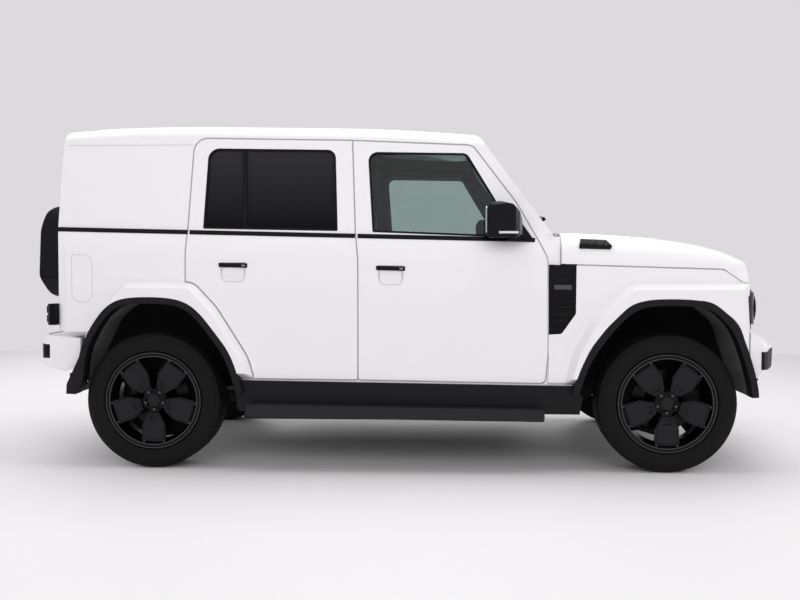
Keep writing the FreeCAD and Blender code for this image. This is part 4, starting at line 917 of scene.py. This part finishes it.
# Mirror glass and the clear strip of the side flasher
mirrorPart = {
    "glassX": 0.5395,
    "glass": [(-1.048, 1.262, 0.012), (-0.925, 1.262, 0.012), (-0.925, 1.395, 0.018), (-1.046, 1.400, 0.022)],
    "flasher": ((0.600, 1.0625), (0.700, 1.055)), "flasherZ": 1.262,
}


def addMirrorGlass():
    m = mirrorPart
    for side, sign in sides:
        points = [(m["glassX"], -sign * y, z) for y, z in roundOff(m["glass"])]
        addPlate("mirror_glass_" + side, points, (-0.004, 0, 0), mirrorFace, "door_front_" + side, 0.0006)
        start, end = ((x, sign * y, m["flasherZ"]) for x, y in m["flasher"])
        addBar("mirror_flasher_" + side, start, end, 0.005, 0.012, lampGuide, "door_front_" + side, 0.001)


addMirrorGlass()


# Front lamps, grille, intake and blank plate
frontLook = {
    "lampY": 0.685, "lampZ": 0.864, "lampX": 1.983, "lampBar": (0.775, 0.612),
    "rounds": {    # finish, steps round, then (forward, radius) of each profile
        "lamp_ring": (lampGuide, 64, [(-0.004, 0.059), (0.004, 0.061), (0.006, 0.066), (0.004, 0.071),
                                      (-0.004, 0.073), (-0.004, 0.059)]),
        "lamp_housing": (glossBlack, 64, [(-0.008, 0.094), (0.001, 0.092), (0.004, 0.086), (0.003, 0.076),
                                          (-0.008, 0.076), (-0.008, 0.094)]),
        "lamp_lens": (mirrorFace, 48, [(0.010, 0.0), (0.008, 0.020), (0.003, 0.034), (-0.004, 0.038),
                                       (-0.004, 0.0)]),
    },
    # level bars: x, half width, heights, section; upright ones: x, places, ends, section; then their bevel
    "grille_mesh": (1.962, 0.47, (0.815, 0.837, 0.859, 0.881, 0.903), (0.010, 0.007),
                    1.962, [k * 0.031 for k in range(-15, 16)], (0.795, 0.925), (0.008, 0.006), 0.001),
    "intake_mesh": (2.030, 0.445, (0.566, 0.583, 0.600, 0.617, 0.634), (0.020, 0.009),
                    2.022, (-0.44, -0.3, -0.15, 0.0, 0.15, 0.3, 0.44), (0.545, 0.655), (0.012, 0.012), 0.002),
}


def addFrontDetail():
    f = frontLook
    x, z = f["lampX"], f["lampZ"]
    for side, sign in sides:
        y = sign * f["lampY"]
        for name, (material, steps, line) in f["rounds"].items():
            piece = spinProfile([(x + u, y, z + radius) for u, radius in line], (x, y, z), (1, 0, 0), steps)
            finishPiece(piece, "%s_%s" % (name, side), material, "body")
        start, end = ((x + 0.001, sign * v, z) for v in f["lampBar"])
        addBar("lamp_bar_" + side, start, end, 0.006, 0.007, lampGuide, "body", 0.001)
    for name in ("grille_mesh", "intake_mesh"):
        barX, half, heights, section, postX, places, (low, high), postSection, bevel = f[name]
        parts = [addBar("bar", (barX, -half, v), (barX, half, v), *section, grainBlack, "body", bevel)
                 for v in heights]
        parts += [addBar("bar", (postX, u, low), (postX, u, high), *postSection, grainBlack, "body", bevel,
                         (1, 0, 0)) for u in places]
        joinPieces(name, parts, "body")


# Blank number plates: a holder, and the sheeting on it
numberPlate = {"holder": (0.266, 0.061, 0.010), "sheet": (0.258, 0.054, 0.008), "stand": 0.006}


def addNumberPlate(name, x, z, body, outward):
    n = numberPlate
    for part, start, thick, material, bevel in (("holder", 0.0, n["stand"], glossBlack, 0.002),
                                                ("sheet", n["stand"], 0.0015, plateWhite, 0.0005)):
        half, rise, corner = n[part]
        points = [(x + outward * start, y, v) for y, v in roundBox(-half, z - rise, half, z + rise, corner)]
        addPlate(name + ("_holder" if part == "holder" else ""), points, (outward * thick, 0, 0), material,
                 body, bevel)


addFrontDetail()
addNumberPlate("number_plate_front", 2.1045, 0.600, "body", 1)
addNumberPlate("number_plate_rear", -1.7972, 0.822, "tailgate", -1)
print("front details made")


# Tail: red lenses, tailgate handle, the storage case's lid seam and latches, hinge covers, bumper step
tailLook = {
    "lensX": -1.8493, "lensY": (0.800, 0.846), "lensZ": ((0.782, 0.822), (0.832, 0.872)),
    "handleX": -1.8075, "handleY": (-0.560, -0.430), "handleZ": 1.090,
    "caseY": 0.331, "seamX": -1.955, "seamZ": (0.960, 1.400), "latchX": (-0.018, 0.022), "latchZ": 1.20,
    "hingeX": -1.7985, "hingeY": (0.655, 0.720), "hingeZ": (0.85, 1.18),
    "stepX": -1.905, "stepY": (-0.62, 0.62), "stepZ": 0.7025,
}


def addTailDetail():
    t = tailLook
    for side, sign in sides:
        low, high = sorted(sign * y for y in t["lensY"])
        for k, (z0, z1) in enumerate(t["lensZ"]):
            points = [(t["lensX"], y, z) for y, z in roundBox(low, z0, high, z1, 0.006)]
            addPlate("tail_lens_%s_%d" % (side, k), points, (-0.004, 0, 0), lampRed, "body")
    start, end = ((t["handleX"], y, t["handleZ"]) for y in t["handleY"])
    addBar("gate_handle", start, end, 0.020, 0.030, glossBlack, "tailgate", 0.006)
    for side, sign in sides:
        y = sign * t["caseY"]
        addTube("case_seam_" + side, [(t["seamX"], y, z) for z in t["seamZ"]], 0.0025, grainBlack, "tailgate")
        start, end = ((t["seamX"] + u, y, t["latchZ"]) for u in t["latchX"])
        addBar("case_latch_" + side, start, end, 0.010, 0.036, grainBlack, "tailgate", 0.003)
    for z in t["hingeZ"]:
        start, end = ((t["hingeX"], y, z) for y in t["hingeY"])
        addBar("gate_hinge_cover_%d" % round(z * 100), start, end, 0.010, 0.050, glossBlack, "tailgate",
               0.003)
    start, end = ((t["stepX"], y, t["stepZ"]) for y in t["stepY"])
    addBar("bumper_step", start, end, 0.060, 0.006, stepSkin, "body", 0.002)


addTailDetail()
print("tail details made")


# Wheel trim: centre cap, wheel bolts, small bolts at the pads' outer corners, pad borders and rim rings; the
# rings are raised lips, grey as painted highlights
wheelTrim = {
    "axleX": {"front": 1.491, "rear": -1.244}, "axleZ": 0.366, "faceY": 0.916, "capRadius": 0.033,
    "boltCircle": 0.050, "rimBoltCircle": 0.2285, "rimBoltLean": 0.24, "spokes": 5,
    "highlightRings": (0.2385, 0.2560), "ringY": (0.9195, 0.9215),
    "padLine": [(-0.028, 0.078, 0.003), (0.028, 0.078, 0.003), (0.056, 0.132, 0.004), (0.059, 0.213, 0.008),
                (-0.059, 0.213, 0.008), (-0.056, 0.132, 0.004)],
}


def addWheelTrim():
    w = wheelTrim
    z = w["axleZ"]
    for end, x in w["axleX"].items():
        for side, sign in sides:
            body = "wheel_%s_%s" % (end, side)
            out = (0, sign, 0)

            def onFace(along, across, degrees, lean, depth):
                # Place on the wheel's face, turned round the hub; depth below the face
                turn = math.radians(degrees) + lean
                return (x + along * math.cos(turn) - across * math.sin(turn), sign * (w["faceY"] - depth),
                        z + across * math.cos(turn) + along * math.sin(turn))

            parts = [addDisc("cap", onFace(0, 0, 0, 0, 0.010), out, w["capRadius"], 0.010, alloy, body,
                             0.003, 32)]
            for k in range(w["spokes"]):
                place = onFace(w["boltCircle"], 0, 126 + 72 * k, 0, 0.020)
                parts.append(addDisc("bolt", place, out, 0.0085, 0.018, greyCoatAndHighlight, body, 0.002, 6))
                for lean in (-w["rimBoltLean"], w["rimBoltLean"]):
                    place = onFace(w["rimBoltCircle"], 0, 270 + 72 * k, lean, 0.008)
                    parts.append(addDisc("bolt", place, out, 0.0055, 0.014, greyCoatAndHighlight, body, 0.0015, 8))
            for k in range(w["spokes"]):
                spot = [onFace(v, u, 72 * k - 90, 0, 0.001) for u, v in roundOff(w["padLine"], 3)]
                parts.append(addRing("pad_edge", spot, 0.0035, (0, sign * 0.003, 0), glossBlack, body, 0.0008))
            near, far = w["ringY"]
            # Raised rim rings in grey: painted highlights on the rim's edges
            for radius in w["highlightRings"]:
                ring = [(x, sign * near, z + radius - 0.0022), (x, sign * far, z + radius - 0.0012),
                        (x, sign * far, z + radius + 0.0012), (x, sign * near, z + radius + 0.0022)]
                piece = spinProfile(ring + ring[:1], (x, 0, z), (0, 1, 0), 96)
                parts.append(finishPiece(piece, "ring", greyCoatAndHighlight, body))
            joinPieces("wheel_trim_%s_%s" % (end, side), parts, body)


addWheelTrim()
print("wheel trim made")


# Padded seats: each cushion is a closed form that is swollen by a short cloth simulation
seatPlace = {"frontX": 0.190, "frontY": 0.370, "rearX": -0.600, "rearY": 0.292, "headY": 0.360,
             "bolsterY": 0.192}
padShape = {
    # side outlines (x from the seat's place, z, corner radius), width and largest swelling
    "base": {"line": [(-0.168, 0.672, 0.030), (0.248, 0.688, 0.045), (0.246, 0.776, 0.045),
                      (-0.165, 0.748, 0.030)], "width": 0.270, "cap": 0.022},
    "base_bolster": {"line": [(-0.165, 0.672, 0.030), (0.225, 0.686, 0.045), (0.220, 0.786, 0.045),
                              (-0.162, 0.770, 0.030)], "width": 0.078, "cap": 0.012},
    "back": {"line": [(-0.292, 0.712, 0.030), (-0.186, 0.712, 0.030), (-0.318, 1.240, 0.040),
                      (-0.392, 1.240, 0.035)], "width": 0.270, "cap": 0.022},
    "back_bolster": {"line": [(-0.290, 0.712, 0.030), (-0.160, 0.712, 0.030), (-0.285, 1.170, 0.045),
                              (-0.380, 1.170, 0.035)], "width": 0.078, "cap": 0.012},
    "head": {"line": [(-0.402, 1.310, 0.030), (-0.318, 1.310, 0.030), (-0.336, 1.458, 0.035),
                      (-0.408, 1.455, 0.030)], "width": 0.230, "cap": 0.016},
    "bench_base": {"line": [(-0.185, 0.655, 0.030), (0.240, 0.682, 0.045), (0.238, 0.766, 0.045),
                            (-0.182, 0.740, 0.030)], "width": 0.545, "cap": 0.022},
    "bench_back": {"line": [(-0.292, 0.712, 0.030), (-0.186, 0.712, 0.030), (-0.308, 1.212, 0.040),
                            (-0.384, 1.212, 0.035)], "width": 0.545, "cap": 0.022},
}
padCloth = {"voxel": 0.006, "pressure": 4.0, "frames": 20}


def addPad(name, shape, x, y):
    # One cushion, its start shape a rounded prism across the car
    d = padShape[shape]
    piece = addSlab(name, x, roundOff(d["line"], 4), y - d["width"] / 2, d["width"], cloth, 0.020)
    remesh = piece.modifiers.new("remesh", "REMESH")
    remesh.mode = "VOXEL"
    remesh.voxel_size = padCloth["voxel"]
    bpy.ops.object.modifier_apply(modifier=remesh.name)
    still = [vertex.co.copy() for vertex in piece.data.vertices]
    swell = piece.modifiers.new("swell", "CLOTH")
    settings = swell.settings
    settings.quality = 4
    settings.use_pressure = True
    settings.uniform_pressure_force = padCloth["pressure"]
    settings.effector_weights.gravity = 0.0
    swell.point_cache.frame_start = 1
    swell.point_cache.frame_end = padCloth["frames"]
    for frameNumber in range(1, padCloth["frames"] + 1):
        bpy.context.scene.frame_set(frameNumber)
    bpy.ops.object.modifier_apply(modifier=swell.name)
    bpy.context.scene.frame_set(1)
    for vertex, start in zip(piece.data.vertices, still):
        move = vertex.co - start
        if move.length > d["cap"]:
            vertex.co = start + move.normalized() * d["cap"]
    bpy.ops.object.shade_smooth()
    return piece


def copyPad(source, name, move):
    pick(source)
    bpy.ops.object.duplicate()
    piece = bpy.context.object
    piece.location = move
    bpy.ops.object.transform_apply(location=True)
    label(piece, name, "body")
    return piece


def addSeats():
    p = seatPlace
    x, y = p["frontX"], -p["frontY"]
    pads = {}
    for shape in ("base", "back", "head", "base_bolster", "back_bolster"):
        across = -p["bolsterY"] if "bolster" in shape else 0.0
        pads[shape] = addPad("seat_%s_right" % shape, shape, x, y + across)
    for shape in ("base_bolster", "back_bolster"):
        move = (0, 2 * p["bolsterY"], 0)
        pads[shape + "_inner"] = copyPad(pads[shape], "seat_%s_inner_right" % shape, move)
    for shape, piece in pads.items():
        copyPad(piece, "seat_%s_left" % shape, (0, 2 * p["frontY"], 0))
    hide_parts("front_seats")
    for shape in ("bench_base", "bench_back"):
        pads[shape] = addPad(shape + "_right", shape, p["rearX"], -p["rearY"])
        copyPad(pads[shape], shape + "_left", (0, 2 * p["rearY"], 0))
    for side, sign in sides:
        copyPad(pads["head"], "bench_head_" + side, (p["rearX"] - x, p["frontY"] + sign * p["headY"], -0.068))
    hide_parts("rear_bench")


# Hard parts of the seats: plinths, recliner covers, back shells and headrest posts, as side outlines
seatFrame = {
    "plinth": [(-0.190, 0.425), (0.190, 0.425), (0.235, 0.664), (-0.215, 0.650)],
    "shell": [(-0.306, 0.700), (-0.298, 0.700), (-0.404, 1.235), (-0.412, 1.235)],
    "cover": [(-0.262, 0.640, 0.02), (-0.120, 0.640, 0.03), (-0.140, 0.745, 0.03), (-0.262, 0.770, 0.03)],
    "halfWidth": 0.205, "coverY": 0.232, "coverWidth": 0.012,
    "benchPlinth": [(-0.160, 0.425), (0.200, 0.425), (0.225, 0.660), (-0.190, 0.636)],
    "benchShell": [(-0.304, 0.700), (-0.296, 0.700), (-0.394, 1.208), (-0.402, 1.208)],
    "benchPlinthHalf": 0.575, "benchShellHalf": 0.570,
    "postY": 0.055, "post": [(-0.352, 1.22), (-0.362, 1.35)], "benchPost": [(-0.346, 1.19), (-0.356, 1.28)],
}


def addSeatFrames():
    p, f = seatPlace, seatFrame
    half = f["halfWidth"]
    for side, sign in sides:
        x, y = p["frontX"], sign * p["frontY"]
        addSlab("seat_plinth_" + side, x, f["plinth"], y - half, 2 * half, softPlastic, 0.012)
        addSlab("seat_shell_" + side, x, f["shell"], y - half, 2 * half, softPlastic, 0.003)
        for edge in (-1, 1):
            place = "outer" if edge == sign else "inner"
            addSlab("seat_cover_%s_%s" % (side, place), x, roundOff(f["cover"]), y + edge * f["coverY"],
                    edge * f["coverWidth"], softPlastic, 0.003)
        for post in (-f["postY"], f["postY"]):
            for name, key, seatX, seatY in (("seat_post", "post", x, y),
                                            ("bench_post", "benchPost", p["rearX"], sign * p["headY"])):
                start, end = ((seatX + u, seatY + post, z) for u, z in f[key])
                addBar("%s_%s_%d" % (name, side, post > 0), start, end, 0.012, 0.012, silver, "body", 0.004,
                       (1, 0, 0))
    half = f["benchPlinthHalf"]
    addSlab("bench_plinth", p["rearX"], f["benchPlinth"], -half, 2 * half, softPlastic, 0.012)
    half = f["benchShellHalf"]
    addSlab("bench_shell", p["rearX"], f["benchShell"], -half, 2 * half, felt, 0.003)


addSeats()
addSeatFrames()
print("seats made")


# Dashboard screen, instrument hood and air vents
dashLook = {
    "screenX": 0.548, "screenLean": 0.20, "screenHalf": 0.165, "screenZ": (1.105, 1.255),
    "hood": [(0.640, 1.170), (0.560, 1.140), (0.568, 1.235), (0.660, 1.215)],
    "hoodY": 0.255, "hoodWidth": 0.230,
    "ventX": 0.533, "ventY": (-0.66, -0.24, 0.22, 0.66), "ventHalf": 0.055,
    "vaneZ": (1.010, 1.026, 1.042, 1.058),
}


def addDashboardDetail():
    d = dashLook
    half, (low, high) = d["screenHalf"], d["screenZ"]
    points = [(d["screenX"] + (z - low) * d["screenLean"], y, z)
              for y, z in roundBox(-half, low, half, high, 0.012)]
    addPlate("centre_screen", points, (-0.012, 0, 0), glossBlack, "body", 0.003)
    addSlab("instrument_hood", 0.0, d["hood"], d["hoodY"], d["hoodWidth"], softPlastic, 0.010)
    for k, y in enumerate(d["ventY"]):
        parts = [addBar("vane", (d["ventX"], y - d["ventHalf"], z), (d["ventX"], y + d["ventHalf"], z), 0.006,
                        0.006, sealBlack, "body") for z in d["vaneZ"]]
        joinPieces("air_vent_%d" % k, parts, "body")


addDashboardDetail()


# Splash guards at the feet of the front arches, and the brake backing plates
guardSize = {
    "splashY": 0.470,
    "splash": [(0.985, 0.300), (1.120, 0.320), (1.260, 0.430), (1.260, 0.600), (0.985, 0.600)],
    "shieldRadius": 0.221, "holeRadius": 0.110, "shieldY": 0.752, "shieldThick": 0.003,
    "shieldReach": 52,    # degrees above and below the axle
}


def addGuards():
    g = guardSize
    axleX, axleZ = wheelTrim["axleX"], wheelTrim["axleZ"]
    for side, sign in sides:
        addPlate("splash_guard_" + side, [(x, sign * g["splashY"], z) for x, z in g["splash"]],
                 (0, -sign * 0.004, 0), underCoat, "body")
        for end, start in (("front", -g["shieldReach"]), ("rear", 180 - g["shieldReach"])):
            turns = [math.radians(start + 2 * g["shieldReach"] * k / 16) for k in range(17)]
            arc = [(g["shieldRadius"], turn) for turn in turns]
            arc += [(g["holeRadius"], turn) for turn in turns[::-1]]
            points = [(axleX["front"] + r * math.cos(turn), sign * g["shieldY"], axleZ + r * math.sin(turn))
                      for r, turn in arc]
            addPlate("brake_shield_%s_half_%s" % (end, side), points, (0, sign * g["shieldThick"], 0),
                     underCoat, "knuckle_" + side, 0.0008)
        centre = (axleX["rear"], sign * (g["shieldY"] + 0.0015), axleZ)
        addDisc("brake_shield_rear_" + side, centre, (0, sign, 0), g["shieldRadius"], g["shieldThick"],
                underCoat, "body", 0.0008, 48)


addGuards()
print("cabin details and guards made")


# Lamp and reflector edges that wrap round the bumpers' corners, as plan outlines on the bumper's side
cornerWrap = {
    "lamp": [(1.978, 0.8998), (1.9926, 0.8998), (2.0085, 0.8815), (2.0105, 0.8832), (1.9936, 0.9028),
             (1.978, 0.9028)],
    "lampZ": (0.546, 0.640),
    "reflectorCentre": (-1.811, 0.845),
    "reflectorRadii": (0.0596, 0.0622),
    "reflectorTurns": (2, 12, 22, 32, 42),
    "reflectorZ": (0.592, 0.666),
}


def addCornerWraps():
    c = cornerWrap
    for side, sign in sides:
        low, high = c["lampZ"]
        addPlate("corner_lamp_edge_" + side, [(x, sign * y, low) for x, y in c["lamp"]], (0, 0, high - low),
                 grainBlack, "body", 0.0006)
        inner, outer = c["reflectorRadii"]
        turns = [math.radians(turn) for turn in c["reflectorTurns"]]
        arc = [(outer, turn) for turn in turns] + [(inner, turn) for turn in turns[::-1]]
        middleX, middleY = c["reflectorCentre"]
        low, high = c["reflectorZ"]
        points = [(middleX - r * math.sin(turn), sign * (middleY + r * math.cos(turn)), low)
                  for r, turn in arc]
        addPlate("reflector_edge_" + side, points, (0, 0, high - low), glossBlack, "body", 0.0)


addCornerWraps()


# Camera, floor and light
camera = {
    "place": (0.3435, -6.0687, 1.0929),
    "turn": (87.963, 0.0, 2.859),
    "lens": 43.84,
}
bpy.ops.object.camera_add(location=camera["place"], rotation=[math.radians(a) for a in camera["turn"]])
bpy.context.object.data.lens = camera["lens"]
bpy.context.object.data.sensor_width = 36.0
bpy.context.scene.camera = bpy.context.object

floorDepth = {"near": -40.0, "far": 6.05, "halfWidth": 40.0}    # far edge on the photograph's horizon
pick()
bpy.ops.mesh.primitive_plane_add(size=1, location=(0, (floorDepth["near"] + floorDepth["far"]) / 2, 0))
floor = bpy.context.object
floor.name = "studio_floor"
floor.scale = (floorDepth["halfWidth"] * 2, floorDepth["far"] - floorDepth["near"], 1)
bpy.ops.object.transform_apply(location=True, rotation=True, scale=True)
# Matt painted concrete, very pale, with soft mottling
floorPaint = shadedFinish("paleFloorPaint", "noise", 0.6, ("#eceaeb", "#f0eeef"), Roughness=0.6)
floor.data.materials.append(floorPaint)


def addLamp(name, place, aim, size, power):
    bpy.ops.object.light_add(type="AREA", location=place)
    lamp = bpy.context.object
    lamp.name = name
    lamp.data.shape = "RECTANGLE"
    lamp.data.size, lamp.data.size_y = size
    lamp.data.energy = power
    lamp.rotation_euler = (Vector(aim) - Vector(place)).to_track_quat("-Z", "Y").to_euler()
    lamp.visible_transmission = False    # not seen through the windows
    return lamp


addLamp("top_softbox", (0.0, 0.0, 5.5), (0, 0, 0), (7.0, 4.5), 190)
addLamp("side_softbox_near", (0.5, -7.5, 3.6), (0, 0, 0.9), (8.0, 3.0), 215).visible_glossy = False
addLamp("side_softbox_far", (-0.5, 7.5, 3.6), (0, 0, 0.9), (8.0, 3.0), 170)
addLamp("front_softbox", (7.5, -1.0, 3.0), (0, 0, 0.9), (4.0, 3.0), 110)
addLamp("rear_softbox", (-7.5, 1.0, 3.0), (0, 0, 0.9), (4.0, 3.0), 110)

world = bpy.data.worlds.new("studioWorld")
world.use_nodes = True
bpy.context.scene.world = world
tree = world.node_tree
background = tree.nodes["Background"]
path = addNode(tree, "ShaderNodeLightPath")
glossy = addNode(tree, "ShaderNodeMath", {0: path.outputs["Is Camera Ray"], 1: path.outputs["Is Glossy Ray"]},
                 operation="MAXIMUM")
shown = addNode(tree, "ShaderNodeMath", {0: glossy.outputs[0], 1: path.outputs["Is Transmission Ray"]},
                operation="MAXIMUM")
strength = addNode(tree, "ShaderNodeMapRange", {"Value": shown.outputs[0], "To Min": 0.55, "To Max": 1.0})
background.inputs["Color"].default_value = hexColour("#dcdadd")
tree.links.new(strength.outputs["Result"], background.inputs["Strength"])

bpy.context.scene.view_settings.view_transform = "Standard"

print("scene ready")
